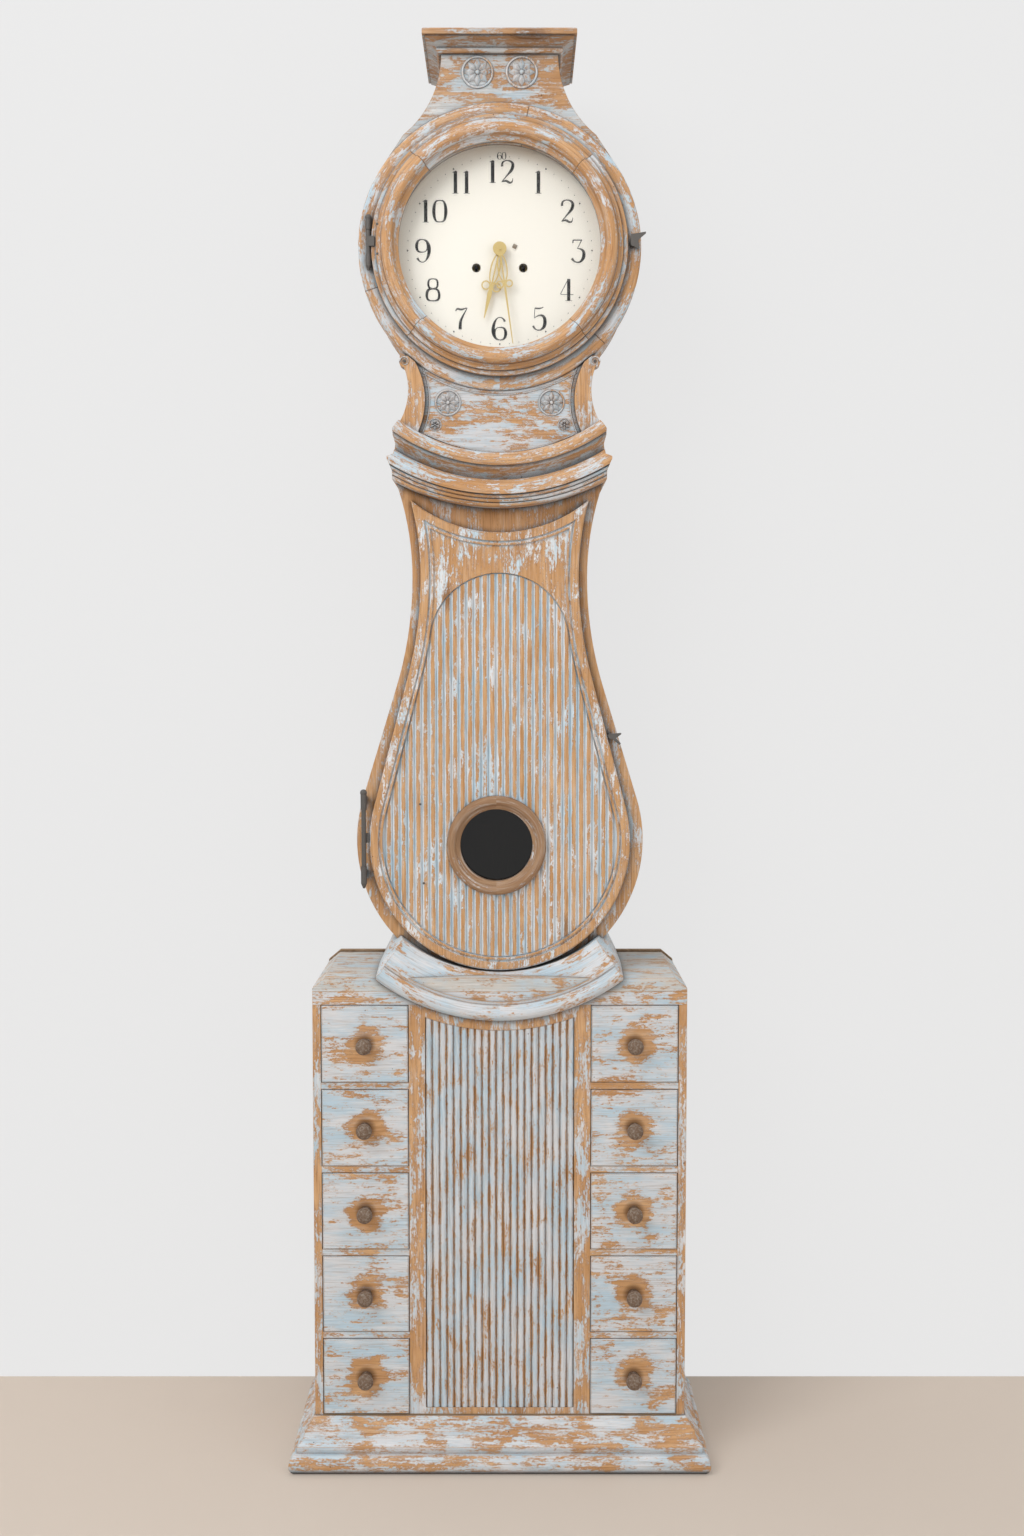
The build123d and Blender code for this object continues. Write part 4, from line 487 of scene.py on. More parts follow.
@dataclass(frozen=True)
class ScrapedPine(Finish):
    """Pine with old pale-blue paint scraped back to the wood.

    Attributes:
        grain: Which way the fibres run.
        coverage: Share of the face that keeps its paint.
        light: Wood between the rings.
        deep: Wood on the rings.
        pale_paint: Thin grey-white paint.
        blue_paint: Thicker blue paint.
        film: How much chalky film lies over bare wood.
        edge_radius: Rounding of worn edges.
        dirt: How dark the creases are painted, as shade and dirt.
        bare_behind: Depth behind which the wood was never painted.
    """

    grain: Grain = Grain.UPRIGHT
    coverage: float = 0.5
    light: Colour = srgb("D9AF82")
    deep: Colour = srgb("B5824F")
    pale_paint: Colour = srgb("D3D5D8")
    blue_paint: Colour = srgb("B7CCD9")
    film: float = 0.6
    edge_radius: float = 0.0016
    dirt: float = 0.9
    bare_behind: float = 9.0

    def shader_inputs(self, g: Graph) -> dict[str | int, Value]:
        """Build the material's nodes.

        Args:
            g: The material's graph.

        Returns:
            What the Principled BSDF takes.
        """
        vector, joints = self.grain.vector(g)
        figure = g.effect(PineFigure, Vector=vector).outputs
        wear = g.effect(EdgeWear, Radius=self.edge_radius).outputs
        bare = g.math("GREATER_THAN", g.place()[1], self.bare_behind)
        coverage = g.math("MULTIPLY_ADD", bare, -2.0, self.kept(g, wear))
        paint = g.effect(PaintRemnants, Vector=vector, Coverage=coverage).outputs
        holes = g.effect(Specks, Vector=vector, Scale=70.0, Size=0.09).outputs["Mask"]

        wood = g.mix(g.math("MULTIPLY", figure["Rings"], 0.5), self.light, self.deep)
        wood = g.mix(g.math("MULTIPLY", figure["Tone"], 0.55), wood, self.deep)
        wood = g.mix(g.ramp(figure["Fibre"], 0.5, 0.68, 0.0, 0.5), wood, OLD_FIBRE)
        wood = g.mix(g.math("MULTIPLY", figure["Knots"], 0.6), wood, KNOT)
        wood = g.mix(g.math("MULTIPLY", paint["White"], self.film), wood, CHALK_ON_WOOD)
        coat = g.mix(paint["Tint"], self.pale_paint, self.blue_paint)
        coat = g.mix(g.ramp(figure["Fibre"], 0.48, 0.7, 0.0, 0.5), coat, GREYED_PAINT)
        coat = g.mix(g.math("MULTIPLY", paint["White"], 0.5), coat, CHALK_ON_PAINT)
        colour = g.mix(paint["Mask"], wood, coat)
        colour = g.mix(g.math("MULTIPLY", paint["Rim"], 0.5), colour, SCRAPED_RIM)
        colour = self.accents(g, colour)
        # Painted shade and dirt: the creases, found by ambient occlusion, are darkened in the colour.
        colour = g.mix(g.math("MULTIPLY", wear["Crease"], self.dirt), colour, CREASE_SHADE_AND_DIRT, "MULTIPLY")
        colour = g.mix(g.math("MULTIPLY", holes, 0.8), colour, WORM_HOLE)

        relief = g.total((0.5, paint["Mask"]), (0.45, figure["Fibre"]), (-1.0, holes))
        if joints:
            colour = g.mix(g.math("MULTIPLY", joints, 0.75), colour, GLUE_JOINT)
            relief = g.math("SUBTRACT", relief, joints)
        return {"Base Color": colour, "Normal": g.bump(0.5, 0.6 * MM, relief, wear["Normal"]),
                "Roughness": g.ramp(figure["Fibre"], 0.3, 0.7, 0.58, 0.78), "Specular IOR Level": 0.35}

    def kept(self, g: Graph, wear: Sockets) -> Socket:
        """How much paint is kept: more in creases, less on edges."""
        return g.math("ADD", g.total((0.3, wear["Crease"]), (-0.6, wear["Edge"])), self.coverage)

    def accents(self, g: Graph, colour: Socket) -> Socket:
        """Colour that a piece adds of its own."""
        return colour


@dataclass(frozen=True)
class ReededPine(ScrapedPine):
    """Scraped pine with reeds, whose crests and valleys keep different amounts of paint.

    Attributes:
        valley_y: Depth of the valleys between the reeds.
        crest_y: Depth of the reeds' crests.
        in_valley: Paint kept in a valley, above the coverage.
        on_crest: Paint kept on a crest, above the coverage.
        valley_dirt: How dark the bottom of a valley is painted, as shade and dirt.
        on_field: Paint kept on the plain field above the arch, above the coverage.
        arch_z: Middle of the arch that ends the reeds, or a height above them all.
        arch_radius: Radius of that arch.
    """

    valley_y: float = 0.0
    crest_y: float = 0.0
    in_valley: float = 0.4
    on_crest: float = -0.3
    valley_dirt: float = 0.3
    on_field: float = 0.0
    arch_z: float = 9.0
    arch_radius: float = 1.0

    def field(self, g: Graph) -> Socket:
        """Find the plain field above the arch.

        Args:
            g: The material's graph.

        Returns:
            One on the field, and nothing elsewhere.
        """
        x, _, z = g.place()
        above = g.math("SUBTRACT", z, self.arch_z)
        return g.math("MULTIPLY", g.math("GREATER_THAN", g.reach(x, above), self.arch_radius),
                      g.math("GREATER_THAN", above, 0.0))

    def reeded(self, g: Graph) -> Socket:
        """One where there are reeds, and nothing on the plain field and the border."""
        raised = g.math("LESS_THAN", g.place()[1], self.crest_y - 0.4 * MM)
        return g.math("SUBTRACT", 1.0, g.math("MAXIMUM", self.field(g), raised))

    def height(self, g: Graph) -> Socket:
        """From nothing in a valley to one on a crest."""
        return g.ramp(g.place()[1], self.valley_y, self.crest_y)

    def kept(self, g: Graph, wear: Sockets) -> Socket:
        """How much paint is kept, by the height on a reed.

        Args:
            g: The material's graph.
            wear: Outputs of the edge wear.

        Returns:
            The coverage.
        """
        plain = g.math("MULTIPLY_ADD", self.field(g), self.on_field, super().kept(g, wear))
        share = g.ramp(self.height(g), 0.5, 0.85, self.in_valley, self.on_crest)
        return g.math("MULTIPLY_ADD", share, self.reeded(g), plain)

    def accents(self, g: Graph, colour: Socket) -> Socket:
        """Darken the bottoms of the valleys, as painted shade and dirt."""
        # Painted shade and dirt: the deepest part of each valley is darkened.
        bottom = g.math("MULTIPLY", g.ramp(self.height(g), 0.3, 0.0, 0.0, self.valley_dirt), self.reeded(g))
        return g.mix(bottom, colour, VALLEY_SHADE_AND_DIRT)


@dataclass(frozen=True)
class DrawerPine(ScrapedPine):
    """Scraped pine of the drawers, rubbed bare round the knobs, which are brown and ring-turned.

    Attributes:
        front_y: Depth in front of which only the knobs stand.
        knob_x: Distance of the knobs from the middle of the cabinet.
        knob_z: Height of the lowest knobs.
        pitch: Height from one drawer to the next.
        turning: Rings on a knob, in radians a metre.
        brown: Colour of the knobs.
        ring: Colour in their turned rings.
        rubbed: Colour where hands have rubbed them.
        stain: Colour of the front round a knob.
    """

    front_y: float = -0.0995
    knob_x: float = 0.198
    knob_z: float = 0.13435
    pitch: float = 0.125
    turning: float = 1900.0
    brown: Colour = srgb("7A6250")
    ring: Colour = srgb("4E3C2E")
    rubbed: Colour = srgb("8F8376")
    stain: Colour = srgb("6B4526")

    def from_knob(self, g: Graph) -> Socket:
        """Measure from the middle of the nearest knob.

        Args:
            g: The material's graph.

        Returns:
            The distance, in metres.
        """
        x, _, z = g.place()
        side = g.math("SUBTRACT", g.math("ABSOLUTE", x), self.knob_x)
        level = g.math("WRAP", g.math("SUBTRACT", z, self.knob_z), self.pitch / 2, -self.pitch / 2)
        return g.reach(side, level)

    def kept(self, g: Graph, wear: Sockets) -> Socket:
        """How much paint is kept, less round a knob."""
        rubbed = g.ramp(self.from_knob(g), 0.012, 0.034, -0.42, 0.06)
        return g.math("ADD", super().kept(g, wear), rubbed)

    def accents(self, g: Graph, colour: Socket) -> Socket:
        """Give the knobs their brown and the front a darker ring where they stand.

        Args:
            g: The material's graph.
            colour: Colour of the scraped pine.

        Returns:
            The colour with the knobs.
        """
        distance = self.from_knob(g)
        turned = g.math("ABSOLUTE", g.math("SINE", g.math("MULTIPLY", distance, self.turning)))
        knob = g.mix(g.math("MULTIPLY", turned, 0.5), self.brown, self.ring)
        handled = g.ramp(g.noise(g.coordinates(), 300.0, 3.0, 0.7), 0.45, 0.65)
        knob = g.mix(handled, knob, self.rubbed)
        is_knob = g.math("LESS_THAN", g.place()[1], self.front_y)
        stained = g.mix(g.ramp(distance, 0.017, 0.011, 0.0, 0.55), colour, self.stain)
        return g.mix(is_knob, stained, knob)


@dataclass(frozen=True)
class PlainWood(Finish):
    """Bare wood with a quiet grain, greyed with age.

    Attributes:
        grain: Which way the fibres run.
        light: Wood between the rings.
        deep: Wood on the rings.
        fibre: Single dark fibres.
        knot: Knots.
        dirt: Colour painted into the creases, as shade and dirt.
    """

    grain: Grain = Grain.UPRIGHT
    light: Colour = srgb("B49A7C")
    deep: Colour = srgb("86694C")
    fibre: Colour = srgb("5C422C")
    knot: Colour = srgb("573820")
    dirt: Colour = srgb("3C3026")

    def shader_inputs(self, g: Graph) -> dict[str | int, Value]:
        """Build the material's nodes.

        Args:
            g: The material's graph.

        Returns:
            What the Principled BSDF takes.
        """
        vector, _ = self.grain.vector(g)
        figure = g.effect(PineFigure, Vector=vector).outputs
        wear = g.effect(EdgeWear, Radius=0.0012).outputs
        colour = g.mix(g.math("MULTIPLY", figure["Rings"], 0.6), self.light, self.deep)
        colour = g.mix(g.math("MULTIPLY", figure["Tone"], 0.4), colour, self.deep)
        colour = g.mix(g.ramp(figure["Fibre"], 0.5, 0.75, 0.0, 0.5), colour, self.fibre)
        colour = g.mix(g.math("MULTIPLY", figure["Knots"], 0.5), colour, self.knot)
        # Painted shade and dirt: the creases, found by ambient occlusion, are darkened in the colour.
        colour = g.mix(g.math("MULTIPLY", wear["Crease"], 0.5), colour, self.dirt, "MULTIPLY")
        return {"Base Color": colour, "Normal": g.bump(0.4, 0.5 * MM, figure["Fibre"], wear["Normal"]),
                "Specular IOR Level": 0.3, "Roughness": g.ramp(figure["Fibre"], 0.3, 0.7, 0.62, 0.8)}


@dataclass(frozen=True)
class ForgedIron(Finish):
    """Black forged iron with a trace of rust.

    Attributes:
        dark: Forged skin.
        rust: Rust in patches.
        rubbed: Bright metal on worn edges.
    """

    dark: Colour = srgb("1E1D1C")
    rust: Colour = srgb("57402F")
    rubbed: Colour = srgb("6A6764")

    def shader_inputs(self, g: Graph) -> dict[str | int, Value]:
        """Build the material's nodes.

        Args:
            g: The material's graph.

        Returns:
            What the Principled BSDF takes.
        """
        coordinates = g.coordinates()
        hammered = g.noise(coordinates, 260.0, 3.0, 0.6)
        patches = g.ramp(g.noise(coordinates, 90.0, 4.0, 0.65), 0.52, 0.7)
        wear = g.effect(EdgeWear, Radius=0.0008).outputs
        colour = g.mix(patches, self.dark, self.rust)
        colour = g.mix(g.math("MULTIPLY", wear["Edge"], 0.5), colour, self.rubbed)
        return {"Base Color": colour, "Metallic": 0.15, "Roughness": g.ramp(hammered, 0.3, 0.7, 0.5, 0.7),
                "Normal": g.bump(0.6, 0.8 * MM, hammered, wear["Normal"])}


@dataclass(frozen=True)
class AgedBrass(Finish):
    """Gilt or plain brass, darkened in its hollows.

    Attributes:
        bright: Rubbed brass.
        dull: Tarnished brass.
        roughness: Roughness where it is rubbed.
        steel_before: Depth in front of which the piece is black steel.
        hollow: Grime in the hollows.
        steel: Black steel.
    """

    bright: Colour = srgb("94642B")
    dull: Colour = srgb("553416")
    roughness: float = 0.4
    steel_before: float = -9.0
    hollow: Colour = srgb("3E2A14")
    steel: Colour = srgb("161412")

    def shader_inputs(self, g: Graph) -> dict[str | int, Value]:
        """Build the material's nodes.

        Args:
            g: The material's graph.

        Returns:
            What the Principled BSDF takes.
        """
        coordinates = g.coordinates()
        tarnish = g.ramp(g.noise(coordinates, 150.0, 4.0, 0.6), 0.42, 0.68)
        scratches = g.noise(g.stretch(coordinates, 0.08), 900.0, 2.0)
        wear = g.effect(EdgeWear, Radius=0.0005).outputs
        colour = g.mix(tarnish, self.bright, self.dull)
        colour = g.mix(g.math("MULTIPLY", wear["Crease"], 0.6), colour, self.hollow)
        is_steel = g.math("LESS_THAN", g.place()[1], self.steel_before)
        return {"Base Color": g.mix(is_steel, colour, self.steel), "Metallic": 0.6,
                "Normal": g.bump(0.25, 0.3 * MM, scratches, wear["Normal"]),
                "Roughness": g.ramp(tarnish, 0.0, 1.0, self.roughness, self.roughness + 0.2)}


@dataclass(frozen=True)
class DialPaint(Finish):
    """Cream paint on the dial, with fine age cracks, faint stains, chips, and a painted shadow along the rim.

    Attributes:
        cream: Clean paint.
        stain: Stained paint.
        crack: Age cracks.
        chip: Chips.
        towards_rim: Paint that is duller towards the rim.
        rim: Colour of the painted shadow along the edge, under the bezel.
        middle_z: Height of the dial's middle.
        radius: Radius of its painted face.
    """

    cream: Colour = srgb("DEDAD1")
    stain: Colour = srgb("CDC2A8")
    crack: Colour = srgb("A89C84")
    chip: Colour = srgb("6F665A")
    towards_rim: Colour = srgb("CFC6B4")
    rim: Colour = srgb("3B3229")
    middle_z: float = 1.797
    radius: float = 0.147

    def shader_inputs(self, g: Graph) -> dict[str | int, Value]:
        """Build the material's nodes.

        Args:
            g: The material's graph.

        Returns:
            What the Principled BSDF takes.
        """
        coordinates = g.coordinates()
        sway = g.add("TexNoise", {"Vector": coordinates, "Scale": 25.0}).outputs["Color"]
        bent = g.add("VectorMath", {0: sway, 1: (0.03, 0.03, 0.03), 2: coordinates}, operation="MULTIPLY_ADD")
        cells = g.add("TexVoronoi", {"Vector": bent.outputs[0], "Scale": 26.0}, feature="DISTANCE_TO_EDGE")
        cracked = g.ramp(g.noise(coordinates, 18.0), 0.48, 0.6)
        cracks = g.math("MULTIPLY", g.ramp(cells.outputs[0], 0.01, 0.0), cracked)
        stains = g.ramp(g.noise(coordinates, 14.0, 4.0, 0.6), 0.5, 0.75)
        chips = g.effect(Specks, Vector=coordinates, Scale=85.0, Size=0.07).outputs["Mask"]
        x, _, z = g.place()
        reach = g.reach(x, g.math("SUBTRACT", z, self.middle_z))
        dulled = g.ramp(reach, self.radius - 35 * MM, self.radius)
        # Painted shadow: a dark band just inside the bezel's sight edge.
        rim_shadow = g.ramp(reach, self.radius - 6.2 * MM, self.radius - 2.5 * MM, 0.0, 0.8)
        colour = g.mix(g.math("MULTIPLY", stains, 0.4), self.cream, self.stain)
        colour = g.mix(g.math("MULTIPLY", dulled, 0.3), colour, self.towards_rim)
        colour = g.mix(rim_shadow, colour, self.rim)
        colour = g.mix(g.math("MULTIPLY", cracks, 0.5), colour, self.crack)
        colour = g.mix(g.math("MULTIPLY", chips, 0.7), colour, self.chip)
        return {"Base Color": colour, "Normal": g.bump(0.15, 0.3 * MM, g.math("SUBTRACT", 1.0, cracks)),
                "Specular IOR Level": 0.3, "Roughness": g.ramp(stains, 0.0, 1.0, 0.42, 0.6)}


@dataclass(frozen=True)
class DialInk(Finish):
    """Black paint of the numerals, thin and worn in places.

    Attributes:
        black: Full paint.
        thin: Worn paint.
    """

    black: Colour = srgb("2B2C2E")
    thin: Colour = srgb("6E6D6A")

    def shader_inputs(self, g: Graph) -> dict[str | int, Value]:
        """Build the material's nodes.

        Args:
            g: The material's graph.

        Returns:
            What the Principled BSDF takes.
        """
        coordinates = g.coordinates()
        worn = g.ramp(g.noise(coordinates, 420.0, 4.0, 0.7), 0.52, 0.7)
        return {"Base Color": g.mix(worn, self.black, self.thin), "Normal": g.bump(0.2, 0.2 * MM, worn),
                "Roughness": g.ramp(worn, 0.0, 1.0, 0.45, 0.7), "Specular IOR Level": 0.3}


@dataclass(frozen=True)
class WindowGlass(Finish):
    """Thin old window glass, clear by default; made dark, it is painted shade of what lies behind it.
        transmission: Share of the light that goes through.
    """

    tone: Colour = srgb("F4F8F6")
    alpha: float = 0.06
    transmission: float = 1.0

    def shader_inputs(self, g: Graph) -> dict[str | int, Value]:
        """Build the material's nodes.

        Args:
            g: The material's graph.

        Returns:
            What the Principled BSDF takes.
        """
        coordinates = g.coordinates()
        ripple = g.noise(coordinates, 14.0)
        dust = g.ramp(g.noise(coordinates, 60.0, 4.0, 0.7), 0.5, 0.8, 0.03, 0.12)
        return {"Base Color": self.tone, "Metallic": 0.0, "Transmission Weight": self.transmission,
                "Alpha": self.alpha, "Roughness": dust, "IOR": 1.45, "Normal": g.bump(0.05, MM, ripple)}


IRON = ForgedIron("black_iron")
RUSTY = ForgedIron("rusty_iron", srgb("8A7E6E"), srgb("6A4A32"))
GILT = AgedBrass("gilt_brass")
INK = DialInk("dial_ink")
CARVED = ScrapedPine("pine_carving", Grain.UPRIGHT, 0.6, edge_radius=0.5 * MM, dirt=1.0)
COLLAR_PINE = ScrapedPine("pine_collar", Grain.COLLAR, 0.62)
BACKS = PlainWood("bare_pine_backs", Grain.UPRIGHT)
BOARDS = PlainWood("bare_pine_boards", Grain.ACROSS)
BRASS = AgedBrass("movement_brass", srgb("B8924E"), srgb("6B4F28"), 0.42)
BARREL_BRASS = replace(BRASS, name="barrel_brass", steel_before=-MM)
GUT = PlainWood("gut_line", Grain.UPRIGHT, srgb("C9B58C"), srgb("A8926A"))


# ---------------------------------------------------------------- hand work
def put_down() -> None:
    """Leave edit mode and deselect everything."""
    if bpy.context.object and bpy.context.object.mode != "OBJECT":
        bpy.ops.object.mode_set(mode="OBJECT")
    bpy.ops.object.select_all(action="DESELECT")


def take_up(*pieces: bpy.types.Object) -> bpy.types.Object:
    """Select these pieces only and make the first one active.

    Args:
        pieces: The pieces to select.

    Returns:
        The first piece.
    """
    put_down()
    for piece in pieces:
        piece.select_set(True)
    bpy.context.view_layer.objects.active = pieces[0]
    return pieces[0]


def settle() -> None:
    """Apply the place, turn and size of what is selected."""
    bpy.ops.object.transform_apply(location=True, rotation=True, scale=True)


def open_up() -> None:
    """Enter edit mode with the whole mesh selected."""
    bpy.ops.object.mode_set(mode="EDIT")
    bpy.ops.mesh.select_all(action="SELECT")


def throw_away(*pieces: bpy.types.Object) -> None:
    """Delete pieces that have served as patterns or tools."""
    take_up(*pieces)
    bpy.ops.object.delete()


def copy_to(piece: bpy.types.Object, place: Point, turn: float = 0.0) -> bpy.types.Object:
    """Copy a piece with its own mesh.

    Args:
        piece: A piece that is modelled round the origin.
        place: Where the copy's middle goes.
        turn: Turn about the depth axis, in radians.

    Returns:
        The copy.
    """
    take_up(piece)
    bpy.ops.object.duplicate(linked=False)
    twin = bpy.context.object
    twin.location = place
    twin.rotation_euler = (0, turn, 0)
    return twin


def gather(pieces: list[bpy.types.Object], name: str, body: str, finish: Finish,
           smooth: float = 40.0) -> bpy.types.Object:
    """Join pieces in place, dress them and let them ride on a body.

    Args:
        pieces: What becomes one piece.
        name: Name of the whole.
        body: Body that it moves with.
        finish: Its finish.
        smooth: Angle in degrees under which faces are shaded smooth.

    Returns:
        The finished piece.
    """
    whole = take_up(*pieces)
    if len(pieces) > 1:
        bpy.ops.object.join()
    settle()
    open_up()
    bpy.ops.mesh.remove_doubles(threshold=0.000002)
    bpy.ops.mesh.normals_make_consistent(inside=False)
    put_down()
    take_up(whole)
    bpy.ops.object.shade_smooth_by_angle(angle=math.radians(smooth))
    whole.name = name
    whole.data.name = name
    whole.data.materials.clear()
    whole.data.materials.append(finish.material())
    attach(whole, body)
    log.info("%s rides on %s, %d faces", name, body, len(whole.data.polygons))
    return whole


def draw_stroke(points: Iterable[Point], closed: bool = False, order: int = 3, thickness: float = 1.0,
                sides: int = 1) -> bpy.types.Object:
    """Draw one brush stroke or bead in the upright plane, round about the origin, as a mesh.

    Args:
        points: Control points: across, up, and half the width there.
        closed: Whether the stroke runs back to its start.
        order: 2 for straight runs, 3 for a smooth line.
        thickness: Depth of the stroke as a share of its width.
        sides: How finely the stroke is rounded.

    Returns:
        The stroke.
    """
    put_down()
    bpy.ops.curve.primitive_nurbs_path_add()
    stroke = bpy.context.object
    curve = stroke.data
    curve.splines.clear()
    curve.bevel_depth = 1.0
    curve.bevel_resolution = sides
    curve.use_fill_caps = True
    curve.resolution_u = 8
    line = curve.splines.new("NURBS")
    places = list(points)
    line.points.add(len(places) - 1)
    for point, (across, up, half_width) in zip(line.points, places):
        point.co = (across, 0.0, up, 1.0)
        point.radius = half_width
    line.order_u = order
    line.use_endpoint_u = not closed
    line.use_cyclic_u = closed
    take_up(stroke)
    bpy.ops.object.convert(target="MESH")
    stroke.scale = (1.0, thickness, 1.0)
    bpy.ops.object.transform_apply(location=False, rotation=False, scale=True)
    return stroke


def draw_outline(points: list[Point], filled: bool = False) -> bpy.types.Object:
    """Draw a closed outline by extruding one corner from point to point.

    Args:
        points: The outline's corners.
        filled: Whether it becomes a face.

    Returns:
        The outline.
    """
    put_down()
    bpy.ops.mesh.primitive_plane_add(size=0.001, location=points[0])
    outline = bpy.context.object
    settle()
    open_up()
    bpy.ops.mesh.merge(type="CENTER")
    for start, end in zip(points, points[1:]):
        step = Vector(end) - Vector(start)
        bpy.ops.mesh.extrude_region_move(TRANSFORM_OT_translate={"value": step})
    last = Vector(points[0]) - Vector(points[-1])
    bpy.ops.mesh.extrude_region_move(TRANSFORM_OT_translate={"value": last})
    bpy.ops.mesh.select_all(action="SELECT")
    bpy.ops.mesh.remove_doubles(threshold=0.000001)
    if filled:
        bpy.ops.mesh.select_all(action="SELECT")
        bpy.ops.mesh.edge_face_add()
    return outline


def cut(piece: bpy.types.Object, tool: bpy.types.Object, keep_inside: bool = False) -> None:
    """Cut a piece with a closed tool and take the tool away.

    Args:
        piece: The piece to cut.
        tool: The shape that cuts it.
        keep_inside: Whether the piece keeps what lies inside the tool.
    """
    take_up(piece)
    modifier = piece.modifiers.new("cut", "BOOLEAN")
    modifier.operation = "INTERSECT" if keep_inside else "DIFFERENCE"
    modifier.object = tool
    modifier.solver = "EXACT"
    bpy.ops.object.modifier_apply(modifier=modifier.name)
    throw_away(tool)


# ---------------------------------------------------------------- collar
@dataclass(frozen=True)
class CollarMoulding:
    """Smile-shaped moulding that cradles the belly and hangs in front of the cabinet.

    The pairs of its section are measured forwards from the trunk's face and down from the inner radius.

    Attributes:
        middle_z: Height of the middle of its arc.
        inner_radius: Radius of its upper edge.
        height: Height of its section.
        lip: Flat lip at the top.
        lip_edge: The lip's rounded edge, which starts the slope.
        slope: How far the slope runs forwards and down.
        swell: How far the slope bulges.
        fillet: Where the slope ends.
        quirk: Groove over the bead.
        bead_down: Middle of the bead below the upper edge.
        bead: Half the bead's depth and height.
        steps: Number of steps in the slope and in the bead.
        sweep: Angle from straight below to each end of the arc, in degrees.
        arc_steps: Number of steps along the arc.
        face_y: Depth of the trunk's face.
        back_y: Depth of its back.
        front_y: Depth of the bead's front.
        return_y: Depth behind which the ends run straight back.
        front_ends: Half widths of the raked end at the front: at the foot and at the top.
        back_ends: The same where the ends run straight back.
        foot_z: Height up to which the ends stand upright.
        top_z: Height of the ends' tops.
        belly: Height of the belly's middle, and its radius with a glue gap.
        cabinet_top: Height of the cabinet.
        cabinet_front: Depth of the cabinet's face.
        cabinet_width: Width of the block that is sized like the cabinet, which is past both ends.
        spare: How far the cutting tools reach past the moulding.
    """

    middle_z: float = 0.970
    inner_radius: float = 0.234
    height: float = 0.0665
    lip: Pair = (0.020, 0.0)
    lip_edge: Pair = (0.021, 0.0012)
    slope: Pair = (0.027, 0.0388)
    swell: Pair = (0.006, 0.0022)
    fillet: Pair = (0.0515, 0.0415)
    quirk: Pair = (0.0512, 0.0432)
    bead_down: float = 0.0558
    bead: Pair = (0.0100, 0.0105)
    steps: int = 8
    sweep: float = 50.0
    arc_steps: int = 80
    face_y: float = -0.050
    back_y: float = 0.133
    front_y: float = -0.112
    return_y: float = 0.0
    front_ends: Pair = (0.180, 0.109)
    back_ends: Pair = (0.184, 0.153)
    foot_z: float = 0.736
    top_z: float = 0.800
    belly: Pair = (0.930, 0.2121)
    cabinet_top: float = 0.732
    cabinet_front: float = -0.097
    cabinet_width: float = 0.7
    spare: float = 0.01

    def section(self) -> list[Pair]:
        """Draw the section: a lip, a swelling slope, and a bead at its lower edge.

        Returns:
            Its points, as depth and radius, from the back round the front.
        """
        edge_y, edge_down = self.face_y - self.lip_edge[0], self.lip_edge[1]
        points = [(self.back_y, 0.0), (self.face_y - self.lip[0], self.lip[1]), (edge_y, edge_down)]
        for step in range(1, self.steps + 1):
            share = step / self.steps
            bulge = math.sin(math.pi * share)
            points.append((edge_y - self.slope[0] * share - self.swell[0] * bulge * (1 - share),
                           edge_down + self.slope[1] * share + self.swell[1] * bulge))
        fillet_y = self.face_y - self.fillet[0]
        points += [(fillet_y, self.fillet[1]), (self.face_y - self.quirk[0], self.quirk[1])]
        for step in range(1, self.steps + 1):
            turn = math.pi * step / self.steps
            points.append((fillet_y - self.bead[0] * math.sin(turn),
                           self.bead_down - self.bead[1] * math.cos(turn)))
        points.append((self.back_y, self.height))
        return [(depth, self.inner_radius + down) for depth, down in points]

    def turn_moulding(self) -> bpy.types.Object:
        """Sweep the section along the arc and close both ends.

        Returns:
            The untrimmed moulding.
        """
        start = math.radians(self.sweep)
        moulding = draw_outline([(radius * math.sin(start), depth, self.middle_z - radius * math.cos(start))
                                 for depth, radius in self.section()])
        bpy.ops.mesh.select_all(action="SELECT")
        bpy.ops.mesh.spin(steps=self.arc_steps, angle=-2 * start, center=(0, 0, self.middle_z),
                          axis=(0, 1, 0))
        bpy.ops.mesh.select_all(action="SELECT")
        bpy.ops.mesh.fill_holes(sides=0)
        bpy.ops.mesh.select_all(action="SELECT")
        bpy.ops.mesh.normals_make_consistent(inside=False)
        put_down()
        return moulding

    def end_outline(self, depth: float) -> list[Point]:
        """Outline the front of the block that trims the ends.

        Args:
            depth: Depth of the block's front.

        Returns:
            The outline's corners.
        """
        foot, top = self.front_ends
        low = self.middle_z - self.inner_radius - self.height - self.spare
        half = [(foot, low), (foot, self.foot_z), (top, self.top_z)]
        return [(x, depth, z) for x, z in half] + [(-x, depth, z) for x, z in reversed(half)]

    def shape_block(self) -> bpy.types.Object:
        """Shape the block whose leaning ends trim the moulding.

        Returns:
            The block.
        """
        depth = self.front_y - MM
        block = draw_outline(self.end_outline(depth), filled=True)
        for next_depth in (self.return_y, self.back_y + MM):
            bpy.ops.mesh.extrude_region_move(TRANSFORM_OT_translate={"value": (0, next_depth - depth, 0)})
            depth = next_depth
            bpy.ops.object.mode_set(mode="OBJECT")
            for vertex in block.data.vertices:
                if abs(vertex.co.y - depth) < 0.1 * MM:
                    half_width = self.back_ends[0 if vertex.co.z < self.foot_z + MM else 1]
                    vertex.co.x = math.copysign(half_width, vertex.co.x)
            bpy.ops.object.mode_set(mode="EDIT")
        bpy.ops.mesh.select_all(action="SELECT")
        bpy.ops.mesh.normals_make_consistent(inside=False)
        # The ends are twisted, so they are split into flat faces, and every cut then falls in the same place.
        bpy.ops.mesh.quads_convert_to_tris(quad_method="SHORTEST_DIAGONAL", ngon_method="BEAUTY")
        put_down()
        return block

